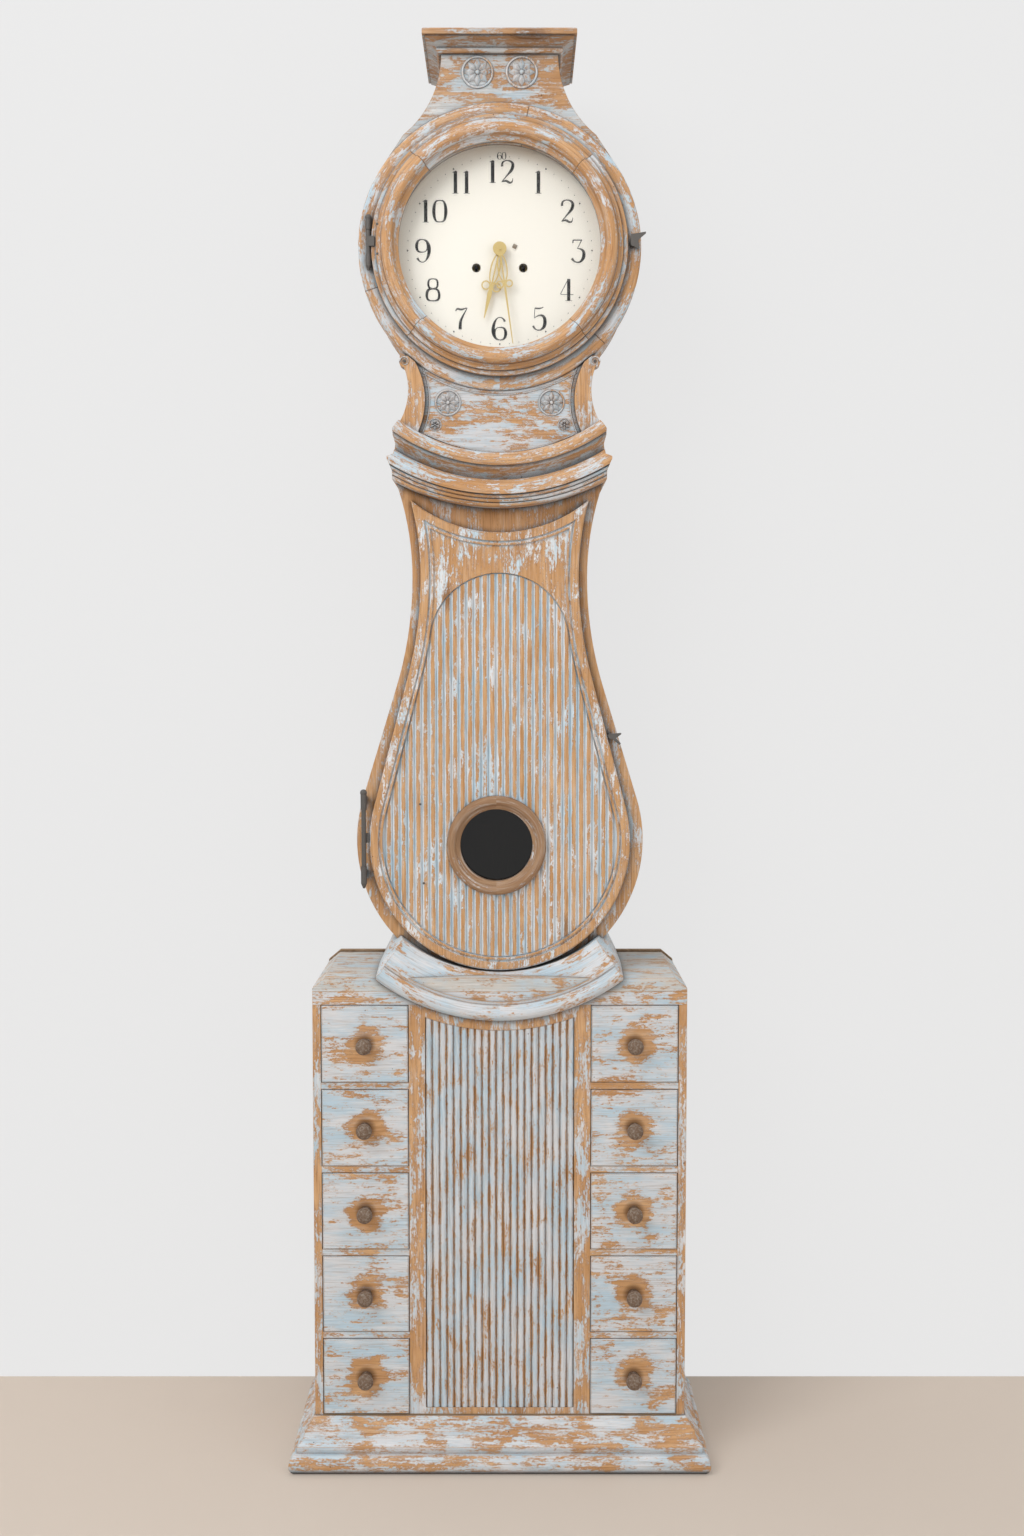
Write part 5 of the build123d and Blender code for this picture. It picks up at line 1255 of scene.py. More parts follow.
    def shape_belly(self) -> bpy.types.Object:
        """Turn the round belly that the moulding is hollowed for.

        Returns:
            The belly.
        """
        put_down()
        deep = self.back_y + MM - self.face_y
        bpy.ops.mesh.primitive_cylinder_add(vertices=160, radius=self.belly[1], depth=deep,
                                            location=(0, self.face_y + deep / 2, self.belly[0]),
                                            rotation=(math.pi / 2, 0, 0))
        return bpy.context.object

    def shape_cabinet(self) -> bpy.types.Object:
        """Size a block like the cabinet that the moulding is notched for.

        Returns:
            The block.
        """
        put_down()
        bpy.ops.mesh.primitive_cube_add(size=1.0)
        block = bpy.context.object
        back = self.back_y + self.spare
        block.scale = (self.cabinet_width, back - self.cabinet_front, self.cabinet_top)
        block.location = (0, (back + self.cabinet_front) / 2, self.cabinet_top / 2)
        settle()
        return block

    def build(self) -> None:
        """Turn, trim and dress the moulding, which takes the plain one's place."""
        moulding = self.turn_moulding()
        cut(moulding, self.shape_block(), keep_inside=True)
        cut(moulding, self.shape_belly())
        cut(moulding, self.shape_cabinet())
        whole = gather([moulding], "collar_band", "case", COLLAR_PINE, smooth=28.0)
        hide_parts("collar_moulding")


# ---------------------------------------------------------------- dial
Stroke = tuple[tuple[Point, ...], bool, int]

# Each stroke: its points across and up with half its width there, whether it closes, and its order.
DIGITS: dict[str, tuple[Stroke, ...]] = {
    "0": ((((0, 1, .02), (.22, .96, .05), (.3, .5, .1), (.22, .04, .05), (0, 0, .02), (-.22, .04, .05),
            (-.3, .5, .1), (-.22, .96, .05)), True, 3),),
    "1": ((((0, 0, .08), (0, 1, .08)), False, 2),
          (((-.14, 0, .014), (.14, 0, .014)), False, 2),
          (((-.14, .94, .012), (0, 1, .03), (.04, 1, .03)), False, 2)),
    "2": ((((-.22, .74, .065), (-.24, .92, .05), (0, 1.04, .02), (.3, .92, .07), (.26, .6, .09),
            (0, .32, .03), (-.24, .03, .02)), False, 3),
          (((-.24, .03, .02), (-.05, .12, .06), (.12, -.02, .06), (.27, .03, .03),
            (.28, .2, .012)), False, 3)),
    "3": ((((-.2, .84, .03), (-.18, .98, .03), (.22, .98, .03)), False, 2),
          (((.22, .98, .025), (.02, .6, .015)), False, 2),
          (((.0, .6, .015), (.3, .58, .06), (.34, .2, .1), (.14, -.06, .04), (-.14, -.02, .03),
            (-.24, .14, .07)), False, 3)),
    "4": ((((.08, 1, .016), (-.3, .28, .016), (.32, .28, .016)), False, 2),
          (((.1, 1, .075), (.1, 0, .075)), False, 2),
          (((-.06, 0, .014), (.26, 0, .014)), False, 2)),
    "5": ((((-.15, .98, .04), (.05, .93, .045), (.24, 1.02, .02)), False, 3),
          (((-.16, .99, .016), (-.19, .52, .016)), False, 2),
          (((-.19, .52, .016), (.02, .68, .03), (.3, .6, .08), (.32, .16, .1), (.1, -.06, .03),
            (-.18, 0, .03), (-.24, .16, .06)), False, 3)),
    "6": ((((.24, .84, .06), (.16, 1.02, .03), (-.12, 1.04, .02), (-.3, .7, .08), (-.32, .3, .1),
            (-.16, -.02, .03), (0, 0, .02)), False, 3),
          (((-.06, .58, .02), (.22, .56, .05), (.3, .28, .09), (.2, .02, .05), (0, -.02, .02),
            (-.2, .06, .05), (-.26, .3, .06), (-.2, .5, .03)), True, 3)),
    "7": ((((-.26, .84, .02), (-.22, .97, .05), (0, .9, .05), (.16, .96, .04), (.28, .98, .02)), False, 3),
          (((.28, .98, .016), (.04, .56, .05), (-.06, .3, .08), (-.05, 0, .085)), False, 3)),
    "8": ((((0, 1.02, .02), (.22, .96, .05), (.22, .6, .05), (0, .54, .03), (-.22, .6, .06),
            (-.22, .96, .05)), True, 3),
          (((0, .56, .03), (.28, .5, .06), (.3, .04, .07), (0, -.02, .02), (-.3, .04, .06),
            (-.28, .5, .08)), True, 3)),
}


@dataclass(frozen=True)
class DialMarks:
    """Numerals and minute dots painted on the dial.

    Attributes:
        middle: The dial's middle, on its face.
        height: Height of a numeral.
        numeral_radius: Radius of the circle of numerals.
        minute_radius: Radius of the circle of minute dots.
        relief: How far the paint stands up.
        sixty: Place of the small 60 above the 12, from the middle, and its height.
        spacing: Width that a digit takes, as a share of its height.
        narrow_spacing: The same in the 11.
        unit_depth: Depth of the unscaled strokes that becomes the relief.
        dot: Radius of a minute dot.
        five_dot: Radius of the dot at every fifth minute.
    """

    middle: Point = (0.0, -0.0201, 1.797)
    height: float = 0.0315
    numeral_radius: float = 0.1135
    minute_radius: float = 0.1355
    relief: float = 0.0003
    sixty: tuple[float, float, float] = (0.003, 0.1362, 0.0098)
    spacing: float = 0.66
    narrow_spacing: float = 0.52
    unit_depth: float = 0.1
    dot: float = 0.62 * MM
    five_dot: float = 1.25 * MM

    def at(self, across: float, up: float) -> Point:
        """Return a place on the dial's face from its middle."""
        return self.middle[0] + across, self.middle[1], self.middle[2] + up

    def model_digit(self, digit: str) -> bpy.types.Object:
        """Draw one digit of height 1, whose baseline goes through the origin.

        Args:
            digit: The digit.

        Returns:
            Its strokes as one piece.
        """
        strokes = [draw_stroke(points, closed, order) for points, closed, order in DIGITS[digit]]
        take_up(*strokes)
        if len(strokes) > 1:
            bpy.ops.object.join()
        return bpy.context.object

    def set_number(self, drawn: dict[str, bpy.types.Object], number: str, place: Point,
                   height: float) -> list[bpy.types.Object]:
        """Copy the digits of one number to their place.

        Args:
            drawn: The digits, drawn once each.
            number: The number to set.
            place: The number's middle.
            height: Its height.

        Returns:
            The copies.
        """
        spacing = self.narrow_spacing if number == "11" else self.spacing
        copies = []
        for i, digit in enumerate(number):
            across = (i - (len(number) - 1) / 2) * spacing * height
            twin = copy_to(drawn[digit], (place[0] + across, place[1], place[2] - height / 2))
            twin.scale = (height, self.relief / self.unit_depth, height)
            settle()
            copies.append(twin)
        return copies

    def build_numerals(self) -> None:
        """Draw the digits once, turn the 6 over for the 9, and copy them round the dial."""
        drawn = {digit: self.model_digit(digit) for digit in DIGITS}
        drawn["9"] = copy_to(drawn["6"], (0, 0, 1.0), math.pi)
        settle()
        copies = []
        for hour in range(1, 13):
            turn = math.radians(30 * hour)
            place = self.at(self.numeral_radius * math.sin(turn), self.numeral_radius * math.cos(turn))
            copies += self.set_number(drawn, str(hour), place, self.height)
        across, up, height = self.sixty
        copies += self.set_number(drawn, "60", self.at(across, up), height)
        throw_away(*drawn.values())
        gather(copies, "dial_numerals", "case", INK)

    def build_minutes(self) -> None:
        """Shape one dot, and copy it to every minute but the 60th, larger at the fives."""
        put_down()
        bpy.ops.mesh.primitive_cylinder_add(vertices=12, radius=1.0, depth=1.0, rotation=(math.pi / 2, 0, 0))
        dot = bpy.context.object
        settle()
        open_up()
        bpy.ops.mesh.bevel(offset=0.3, segments=1, affect="EDGES")
        put_down()
        copies = []
        for minute in range(1, 60):
            turn = math.radians(6 * minute)
            radius = self.dot if minute % 5 else self.five_dot
            across, up = self.minute_radius * math.sin(turn), self.minute_radius * math.cos(turn)
            twin = copy_to(dot, self.at(across, up))
            twin.scale = (radius, self.relief, radius)
            copies.append(twin)
        throw_away(dot)
        gather(copies, "dial_minute_dots", "case", INK)

    def build(self) -> None:
        """Paint everything on the dial."""
        self.build_numerals()
        self.build_minutes()


# ---------------------------------------------------------------- carving
@dataclass(frozen=True)
class Rosette:
    """A carved star of pointed rays round a button, inside a raised ring.

    Attributes:
        radius: Outer radius of the ring.
        rays: Number of rays.
        relief: Height of the rays' ridges.
        reach: Where the rays end, in parts of the radius.
        ray_width: Width of a ray, in parts of the room that it has.
        ray_middle: Middle of a ray, in parts of its reach.
        ring_middle: Middle of the raised ring, in parts of the radius.
        ring_size: Half the ring's thickness, in parts of the radius.
        button: Radius of the button, in parts of the radius.
    """

    radius: float
    rays: int = 8
    relief: float = 0.0036
    reach: float = 0.84
    ray_width: float = 0.82
    ray_middle: float = 0.52
    ring_middle: float = 0.925
    ring_size: float = 0.075
    button: float = 0.16

    def model_ray(self) -> bpy.types.Object:
        """Draw a pyramid out to a pointed ray that lies upright and faces forwards.

        Returns:
            The ray.
        """
        put_down()
        bpy.ops.mesh.primitive_cone_add(vertices=4, radius1=1.0, depth=1.0, rotation=(math.pi / 2, 0, 0))
        ray = bpy.context.object
        bpy.ops.object.transform_apply(location=False, rotation=True, scale=False)
        reach = self.radius * self.reach
        ray.scale = (reach * math.sin(math.pi / self.rays) * self.ray_width, self.relief, reach / 2)
        ray.location = (0, -self.relief / 2, reach * self.ray_middle)
        settle()
        return ray

    def model(self) -> bpy.types.Object:
        """Model the rosette round the origin.

        Returns:
            The rosette, facing forwards.
        """
        ray = self.model_ray()
        take_up(ray)
        open_up()
        bpy.ops.mesh.spin(steps=self.rays - 1, angle=2 * math.pi * (self.rays - 1) / self.rays, dupli=True,
                          center=(0, 0, 0), axis=(0, 1, 0))
        put_down()
        bpy.ops.mesh.primitive_circle_add(vertices=8, radius=self.radius * self.ring_size,
                                          fill_type="NOTHING",
                                          location=(self.radius * self.ring_middle, 0, 0))
        ring = bpy.context.object
        settle()
        open_up()
        bpy.ops.mesh.spin(steps=40, angle=2 * math.pi, center=(0, 0, 0), axis=(0, 1, 0))
        bpy.ops.mesh.select_all(action="SELECT")
        bpy.ops.mesh.remove_doubles(threshold=0.00002)
        bpy.ops.mesh.normals_make_consistent(inside=False)
        put_down()
        bpy.ops.mesh.primitive_uv_sphere_add(segments=16, ring_count=8, radius=self.radius * self.button)
        button = bpy.context.object
        button.scale = (1, 0.9, 1)
        take_up(ray, ring, button)
        settle()
        bpy.ops.object.join()
        return bpy.context.object


@dataclass(frozen=True)
class NeckCarving:
    """Rosettes and a bead round the edge of the neck panel, and rosettes on the crown.

    A rosette on the right is given by its place, across and up, and its radius.

    Attributes:
        face_y: Depth of the panels' faces.
        neck: The larger rosette on the neck.
        fans: The smaller one on the neck.
        crown: The rosette on the crown.
        bead_width: Half the width of the bead.
        bead_points: Number of points along each edge's bead.
        waist: Middle of the arc along the neck's right edge.
        waist_radius: Radius of that arc.
        waist_turns: Angles of its ends from straight above, clockwise, in degrees.
        top: Middle of the arc along the upper edge.
        top_radius: Radius of that arc.
        top_turns: Angles of its ends.
        bottom: Middle of the arc along the lower edge.
        bottom_radius: Radius of that arc.
        bottom_turns: Angles of its ends.
    """

    face_y: float = -0.0372
    neck: Point = (0.076, 1.5735, 0.0195)
    fans: Point = (0.095, 1.5415, 0.0095)
    crown: Point = (0.032, 2.0465, 0.0235)
    bead_width: float = 0.0011
    bead_points: int = 9
    waist: Pair = (0.2205, 1.577)
    waist_radius: float = 0.1175
    waist_turns: Pair = (297.0, 243.0)
    top: Pair = (0.0, 1.797)
    top_radius: float = 0.2125
    top_turns: Pair = (148.0, 212.0)
    bottom: Pair = (0.0, 1.745)
    bottom_radius: float = 0.2435
    bottom_turns: Pair = (153.5, 206.5)

    def build_rosettes(self) -> None:
        """Model each rosette once and copy it to both sides."""
        for name, (x, z, radius), rays in (("neck_rosettes", self.neck, 8),
                                           ("neck_fan_rosettes", self.fans, 6),
                                           ("crown_rosettes", self.crown, 8)):
            shape = Rosette(radius, rays).model()
            pair = [copy_to(shape, (side * x, self.face_y, z)) for side in (-1, 1)]
            throw_away(shape)
            gather(pair, name, "case", CARVED, smooth=25.0)

    def arc(self, middle: Pair, radius: float, ends: Pair) -> list[Point]:
        """Points of a bead along an arc.

        Args:
            middle: The arc's middle, across and up.
            radius: Its radius.
            ends: Angles of its ends from straight above, clockwise, in degrees.

        Returns:
            Control points of the bead.
        """
        start, end = ends
        runs = self.bead_points - 1
        turns = [math.radians(start + (end - start) * i / runs) for i in range(self.bead_points)]
        return [(middle[0] + radius * math.sin(turn), middle[1] + radius * math.cos(turn), self.bead_width)
                for turn in turns]

    def build_bead(self) -> None:
        """Lay the bead along the panel's four edges."""
        right = self.arc(self.waist, self.waist_radius, self.waist_turns)
        left = [(-across, up, width) for across, up, width in right]
        upper = self.arc(self.top, self.top_radius, self.top_turns)
        lower = self.arc(self.bottom, self.bottom_radius, self.bottom_turns)
        edges = [draw_stroke(points, sides=2) for points in (right, left, upper, lower)]
        for edge in edges:
            edge.location = (0.0, self.face_y, 0.0)
        gather(edges, "neck_panel_bead", "case", CARVED)

    def build(self) -> None:
        """Carve everything on the neck and the crown."""
        self.build_rosettes()
        self.build_bead()


@dataclass(frozen=True)
class ScrollVolutes:
    """Volutes on the heads of the two neck scrolls.

    Attributes:
        head: Place of the right head's middle.
        radius: Outer radius of the volute.
        turns: How many times it winds.
        winding_in: How far it winds in, in parts of the radius.
        width: Half its width near its start, in parts of the radius.
        points: Number of points along it.
    """

    head: Point = (0.139, -0.0443, 1.632)
    radius: float = 0.0075
    turns: float = 1.6
    winding_in: float = 0.78
    width: float = 0.15
    points: int = 22

    def model(self, side: int) -> bpy.types.Object:
        """Wind one volute.

        Args:
            side: 1 for the right head, -1 for the left.

        Returns:
            The volute in its place.
        """
        line = []
        for i in range(self.points):
            share = i / (self.points - 1)
            turn = share * self.turns * 2 * math.pi
            reach = self.radius * (1.0 - self.winding_in * share)
            half_width = self.radius * self.width * (1.1 - share)
            line.append((side * reach * math.cos(turn), reach * math.sin(turn), half_width))
        volute = draw_stroke(line, sides=2)
        volute.location = (side * self.head[0], self.head[1], self.head[2])
        return volute

    def build(self) -> None:
        """Wind both volutes."""
        gather([self.model(-1), self.model(1)], "scroll_volutes", "case", CARVED)


# ---------------------------------------------------------------- iron
@dataclass(frozen=True)
class ForgedNails:
    """Nails with low hammered heads, in the plinth, the scroll heads and the hinge leaves.

    Attributes:
        on_plinth: Places of the heads on the plinth moulding.
        on_case: Places on the neck scrolls, in the eyes of the volutes.
        on_door: Places on the trunk door, beside its hinge.
        on_bezel: Places on the bezel ring, beside its hinge.
        radius: Radius of a head.
        thickness: Thickness of a head.
        bevel: How far a head's edge is hammered down.
        turn: Turn from one head to the next, in radians.
    """

    on_plinth: tuple[Point, ...] = (
        (-0.2658, -0.0985, 0.046), (-0.1325, -0.0985, 0.046), (-0.2658, -0.103, 0.020),
        (0.2623, -0.0985, 0.044), (0.2623, -0.103, 0.020))
    on_case: tuple[Point, ...] = ((-0.139, -0.0449, 1.632), (0.139, -0.0449, 1.632))
    on_door: tuple[Point, ...] = ((-0.117, -0.0697, 0.985), (-0.112, -0.0697, 0.868))
    on_bezel: tuple[Point, ...] = ((-0.176, -0.0697, 1.822), (-0.176, -0.0697, 1.780))
    radius: float = 0.0019
    thickness: float = 0.0014
    bevel: float = 0.0005
    turn: float = 0.4

    def model(self) -> bpy.types.Object:
        """Hammer one head, facing forwards at the origin.

        Returns:
            The head.
        """
        put_down()
        bpy.ops.mesh.primitive_cylinder_add(vertices=9, radius=self.radius, depth=self.thickness,
                                            rotation=(math.pi / 2, 0, 0))
        nail = bpy.context.object
        settle()
        open_up()
        bpy.ops.mesh.bevel(offset=self.bevel, segments=2, affect="EDGES")
        put_down()
        return nail

    def build(self) -> None:
        """Copy the nail to every place and gather the nails by body."""
        nail = self.model()
        for name, places, body in (("plinth_nails", self.on_plinth, "case"),
                                   ("case_nails", self.on_case, "case"),
                                   ("door_nails", self.on_door, "trunk_door"),
                                   ("bezel_nails", self.on_bezel, "bezel_door")):
            copies = [copy_to(nail, place, self.turn * i) for i, place in enumerate(places)]
            gather(copies, name, body, IRON)
        throw_away(nail)


# ---------------------------------------------------------------- gut lines
@dataclass(frozen=True)
class GutLines:
    """Twisted gut lines that run from the barrels under the weights' pulleys and up to the studs.

    Attributes:
        depth: Depth of the lines.
        barrel_x: Distance of the strand at the barrel from the clock's middle.
        stud_x: The same at the stud.
        low_z: Height where a strand meets its pulley.
        barrel_z: Height where a strand leaves the barrel.
        stud_z: Height where a strand meets its stud.
        rise: How far a weight rises; not used.
        radius: Radius of a line.
        hollow: Radius between the three plies, in parts of the line's.
        steps: Number of steps along a strand.
        twist_angle: Turn from step to step, in degrees.
    """

    depth: float = 0.030
    barrel_x: float = 0.0134
    stud_x: float = 0.066
    low_z: float = 1.000
    barrel_z: float = 1.772
    stud_z: float = 1.769
    rise: float = 0.55
    radius: float = 0.001
    hollow: float = 0.72
    steps: int = 60
    twist_angle: float = 50.0

    def twist(self, across: float, high_z: float) -> bpy.types.Object:
        """Extrude a lobed section upwards and turn it at every step.

        Args:
            across: Where the strand hangs.
            high_z: Height of its upper end.

        Returns:
            The strand.
        """
        put_down()
        middle = Vector((across, self.depth, self.low_z))
        bpy.ops.mesh.primitive_circle_add(vertices=12, radius=self.radius, fill_type="NGON", location=middle)
        strand = bpy.context.object
        settle()
        for vertex in list(strand.data.vertices)[::4]:
            vertex.co = middle + (vertex.co - middle) * self.hollow
        open_up()
        rise = (high_z - self.low_z) / self.steps
        for _ in range(self.steps):
            bpy.ops.mesh.extrude_region_move(TRANSFORM_OT_translate={"value": (0, 0, rise)})
            middle.z += rise
            bpy.ops.transform.rotate(value=math.radians(self.twist_angle), orient_axis="Z",
                                     center_override=middle)
        put_down()
        return strand

    def build(self) -> None:
        """Twist both lines at one fixed length; in the clock they shorten towards the barrels as the weights
        rise.
        """
        for name, side in (("left", -1), ("right", 1)):
            strands = [self.twist(side * self.barrel_x, self.barrel_z),
                       self.twist(side * self.stud_x, self.stud_z)]
            line = gather(strands, f"{name}_gut_line", "case", GUT, smooth=50.0)
            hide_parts(f"{name}_line")
            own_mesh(line)


@dataclass(frozen=True)
class CatchStud:
    """The squared end of the strike rod, which shows in the dial's small hole.

    Attributes:
        place: Its middle.
        width: Width of its square.
        thickness: Its thickness, in parts of the width.
        lean: How far it is turned, in radians.
        bevel: Width of its chamfer, in parts of the width.
    """

    place: Point = (0.022, -0.0205, 1.803)
    width: float = 0.0062
    thickness: float = 0.35
    lean: float = 0.5
    bevel: float = 0.12

    def build(self) -> None:
        """Forge the stud from a block with a filed, chamfered end."""
        put_down()
        bpy.ops.mesh.primitive_cube_add(size=self.width, location=self.place, rotation=(0, self.lean, 0))
        stud = bpy.context.object
        stud.scale = (1, self.thickness, 1)
        settle()
        open_up()
        bpy.ops.mesh.bevel(offset=self.width * self.bevel, segments=2, affect="EDGES")
        put_down()
        gather([stud], "strike_rod_end", "case", RUSTY)


# ---------------------------------------------------------------- dressing
@dataclass(frozen=True)
class Dressing:
    """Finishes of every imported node, sub-assembly by sub-assembly."""

    def cabinet(self) -> dict[str, Finish]:
        """Finishes of the base cabinet and its drawers.

        Returns:
            The finish of each node.
        """
        across = ScrapedPine("pine_cabinet_rails", Grain.ACROSS, 0.5)
        finishes: dict[str, Finish] = {
            "plinth_moulding": ScrapedPine("pine_plinth", Grain.ACROSS, 0.5),
            "base_sides": ScrapedPine("pine_cabinet_sides", Grain.UPRIGHT, 0.42),
            "base_back_board": BACKS,
            "base_bottom_board": BOARDS,
            "base_top_board": ScrapedPine("pine_cabinet_top", Grain.ACROSS, 0.6, pale_paint=srgb("CBC7C0"),
                                          light=srgb("D2AE86"), film=0.75),
            "base_top_rail": across,
            "drawer_partitions": BOARDS,
            "drawer_dividers": across,
            "centre_frame": ScrapedPine("pine_centre_frame", Grain.UPRIGHT, 0.42),
            "reeded_panel": ReededPine("pine_reeded_panel", Grain.UPRIGHT, 0.55, valley_y=-0.094,
                                       crest_y=-0.0975, in_valley=-0.3, on_crest=0.13, valley_dirt=0.5,
                                       dirt=0.2)}
        drawer = DrawerPine("pine_drawers", Grain.ACROSS, 0.55, edge_radius=0.0012, bare_behind=-0.094)
        for side in ("left", "right"):
            for level in range(1, 6):
                finishes[f"drawer_{side}_{level}"] = drawer
        return finishes

    def trunk(self) -> dict[str, Finish]:
        """Finishes of the trunk, its door and the neck.

        Returns:
            The finish of each node.
        """
        return {
            "collar_moulding": COLLAR_PINE,
            "trunk_side_wall": ScrapedPine("pine_trunk_sides", Grain.UPRIGHT, 0.4),
            "trunk_front_board": ScrapedPine("pine_trunk_front", Grain.UPRIGHT, 0.3),
            # Painted shade: the back board is dark so that the trunk's inside looks dark through the
            # lenticle.
            "trunk_back_board": PlainWood("painted_shade_pine_back", Grain.UPRIGHT, srgb("4A3C2E"), srgb("2E241B")),
            "trunk_door": ReededPine("pine_trunk_door", Grain.UPRIGHT, 0.38, valley_y=-0.0623,
                                     crest_y=-0.0663, in_valley=0.6, on_crest=-0.08, valley_dirt=0.0,
                                     arch_z=1.2205, arch_radius=0.1023, dirt=0.15, bare_behind=-0.0515,
                                     pale_paint=srgb("E3E8EC"), blue_paint=srgb("C6DCE9")),
            "lenticle_ring": ScrapedPine("pine_lenticle", Grain.LENTICLE, 0.26, light=srgb("AD8B6B"),
                                         deep=srgb("86664A"), film=0.6),
            # Painted shade: the lenticle glass is dark and nearly opaque, in place of the dark inside of the
            # trunk.
            "lenticle_glass": WindowGlass("painted_shade_glass", srgb("0B0806"), 0.94, 0.3),
            "trunk_hinge_pintle": IRON, "trunk_hinge_leaf": IRON, "trunk_latch": IRON,
            "trunk_cornice": ScrapedPine("pine_trunk_cornice", Grain.CORNICE, 0.42),
            "neck_panel": ScrapedPine("pine_neck_panel", Grain.ACROSS, 0.5),
            "neck_scrolls": ScrapedPine("pine_neck_scrolls", Grain.UPRIGHT, 0.36, edge_radius=0.001),
            "neck_cheeks": ScrapedPine("pine_neck_cheeks", Grain.UPRIGHT, 0.42)}

    def hood(self) -> dict[str, Finish]:
        """Finishes of the hood, the dial door and the crown.

        Returns:
            The finish of each node.
        """
        return {
            "hood_drum": ScrapedPine("pine_hood_drum", Grain.DEEP, 0.45),
            "hood_front_ring": ScrapedPine("pine_hood_ring", Grain.HOOD, 0.42),
            "hood_back_board": BACKS,
            "crown_neck": ScrapedPine("pine_crown", Grain.ACROSS, 0.46, light=srgb("C9A27A"),
                                      deep=srgb("A97A4C"), blue_paint=srgb("A9BBC6"),
                                      pale_paint=srgb("C3C3C2")),
            "crown_cornice": ScrapedPine("pine_crown_cornice", Grain.ACROSS, 0.44, light=srgb("C39C76"),
                                         deep=srgb("A0744A"), blue_paint=srgb("A9BBC6"),
                                         pale_paint=srgb("BDBDBC")),
            "bezel_ring": ScrapedPine("pine_bezel", Grain.BEZEL, 0.4),
            "bezel_glass": WindowGlass("dial_glass"),
            "bezel_hinge_pintle": IRON, "bezel_hinge_leaf": IRON, "bezel_latch": IRON}

    def movement(self) -> dict[str, Finish]:
        """Finishes of the dial, the hands and the movement.

        Returns:
            The finish of each node.
        """
        return {
            "dial": DialPaint("dial_paint"), "hour_hand": GILT, "minute_hand": GILT,
            "movement_plates": BRASS, "seat_board": BOARDS, "train_wheels": BRASS,
            "left_barrel": BARREL_BRASS, "right_barrel": BARREL_BRASS, "left_weight": IRON,
            "right_weight": IRON, "left_line": GUT, "right_line": GUT, "pendulum": IRON, "anchor": IRON,
            "bell": BRASS, "strike_hammer": IRON}

    def dress_all(self) -> None:
        """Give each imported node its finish."""
        for part in (self.cabinet, self.trunk, self.hood, self.movement):
            for node, finish in part().items():
                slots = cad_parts[node].data.materials
                slots.clear()
                slots.append(finish.material())
                log.info("%s: %s is %s", part.__name__, node, finish.name)


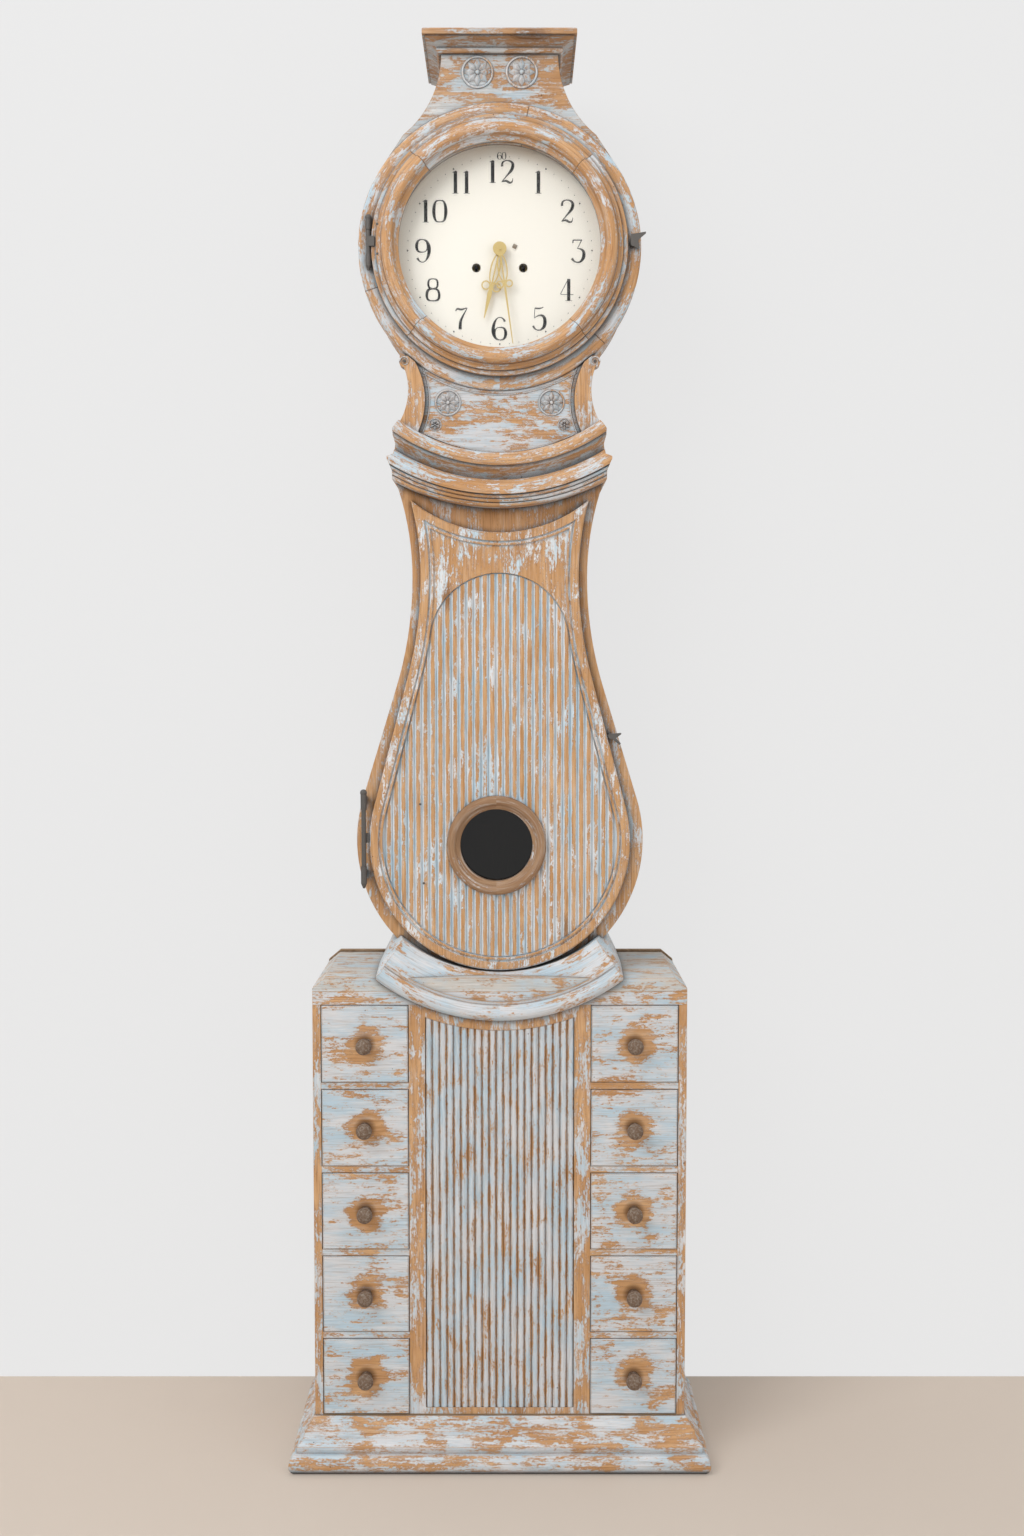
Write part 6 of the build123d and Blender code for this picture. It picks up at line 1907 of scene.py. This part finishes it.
# ---------------------------------------------------------------- studio
@dataclass(frozen=True)
class Studio:
    """Pale floor and backdrop, soft lamps and the camera.

    Attributes:
        camera_place: Where the camera stands.
        camera_pitch: How far it looks down, in degrees.
        lens: Focal length, in millimetres.
        sensor: Width of the sensor, in millimetres.
        wall_y: Depth of the backdrop.
        sheet_size: Width of the floor and the backdrop.
        floor: Colour of the floor.
        floor_shown: Share of it that the camera sees as written.
        wall: Colour of the backdrop.
        wall_shown: Share of it that the camera sees as written.
        daylight: Strength of the world.
        lamps: Name, place, width and power of each soft lamp.
        aim: What the lamps point at.
    """

    camera_place: Point = (0.018, -2.414, 1.185)
    camera_pitch: float = 3.58
    lens: float = 37.5
    sensor: float = 36.0
    wall_y: float = 0.2
    sheet_size: float = 12.0
    floor: Colour = srgb("D2C6BA")
    floor_shown: float = 0.15
    wall: Colour = srgb("E9E9E9")
    wall_shown: float = 0.9
    daylight: float = 0.5
    lamps: tuple[tuple[str, Point, float, float], ...] = (
        ("key", (-2.3, -3.0, 3.4), 2.4, 96.0), ("fill", (2.8, -3.0, 1.6), 3.0, 30.0),
        ("top", (-0.2, -0.9, 4.2), 2.0, 24.0))
    aim: Point = (0.0, 0.0, 1.1)

    def seen(self, g: Graph) -> Socket:
        """One for what the camera, glass and gloss see, and nothing for what only gives light."""
        path = g.add("LightPath").outputs
        return g.math("MAXIMUM", g.math("MAXIMUM", path["Is Camera Ray"], path["Is Glossy Ray"]),
                      path["Is Transmission Ray"])

    def matt(self, name: str, colour: Colour, shown: float) -> bpy.types.Material:
        """Make a matt material that partly shows its own colour, and lets one look through it from behind.

        Args:
            name: Material name.
            colour: Its colour.
            shown: Share that the camera, glass and gloss see as written.

        Returns:
            The material.
        """
        made = bpy.data.materials.new(name)
        made.use_nodes = True
        g = Graph(made.node_tree)
        seen = self.seen(g)
        shader = made.node_tree.nodes["Principled BSDF"]
        glow = g.add("Emission", {"Color": colour, "Strength": 1.0})
        g.feed(shader, {"Base Color": colour, "Roughness": 0.9, "Specular IOR Level": 0.1})
        share = g.math("MULTIPLY", seen, shown)
        blend = g.add("MixShader", {0: share, 1: shader.outputs[0], 2: glow.outputs[0]})
        behind = g.add("MixShader", {0: g.add("NewGeometry").outputs["Backfacing"], 1: blend.outputs[0],
                                     2: g.add("BsdfTransparent").outputs[0]})
        g.feed(made.node_tree.nodes["Material Output"], {"Surface": behind.outputs[0]})
        return made

    def build_room(self) -> None:
        """Lay the floor and stand the backdrop."""
        for name, place, turn, colour, shown in (
                ("floor", (0, 0, -0.5 * MM), 0, self.floor, self.floor_shown),
                ("backdrop", (0, self.wall_y, self.sheet_size / 4), 90, self.wall, self.wall_shown)):
            put_down()
            bpy.ops.mesh.primitive_plane_add(size=self.sheet_size, location=place,
                                             rotation=(math.radians(turn), 0, 0))
            sheet = bpy.context.object
            sheet.name = name
            settle()
            sheet.data.materials.append(self.matt(f"pale_{name}", colour, shown))

    def hang_lamps(self) -> None:
        """Hang the soft lamps and light the world."""
        for name, place, size, power in self.lamps:
            put_down()
            bpy.ops.object.light_add(type="AREA", location=place)
            lamp = bpy.context.object
            lamp.name = f"{name}_lamp"
            lamp.data.size = size
            lamp.data.energy = power
            aim = Vector(self.aim) - Vector(place)
            lamp.rotation_euler = aim.to_track_quat("-Z", "Y").to_euler()
        world = bpy.context.scene.world or bpy.data.worlds.new("studio")
        bpy.context.scene.world = world
        world.use_nodes = True
        g = Graph(world.node_tree)
        light = g.feed(world.node_tree.nodes["Background"], {0: (1, 1, 1, 1), 1: self.daylight})
        shown = g.add("Background", {0: self.wall, 1: 1.0})
        sky = g.add("MixShader", {0: self.seen(g), 1: light.outputs[0], 2: shown.outputs[0]})
        g.feed(world.node_tree.nodes["World Output"], {"Surface": sky.outputs[0]})

    def set_camera(self) -> None:
        """Stand the camera where the clock is seen from the front."""
        put_down()
        bpy.ops.object.camera_add(location=self.camera_place,
                                  rotation=(math.radians(90 - self.camera_pitch), 0, 0))
        camera = bpy.context.object
        camera.data.lens = self.lens
        camera.data.sensor_width = self.sensor
        camera.data.clip_start = 0.01
        bpy.context.scene.camera = camera
        bpy.context.scene.view_settings.view_transform = "Standard"

    def build(self) -> None:
        """Set up everything round the clock."""
        self.build_room()
        self.hang_lamps()
        self.set_camera()


def main() -> None:
    """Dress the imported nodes, build the added pieces and set the studio up."""
    Dressing().dress_all()
    CollarMoulding().build()
    DialMarks().build()
    NeckCarving().build()
    ScrollVolutes().build()
    GutLines().build()
    CatchStud().build()
    ForgedNails().build()
    Studio().build()


if __name__ == "__main__":
    main()
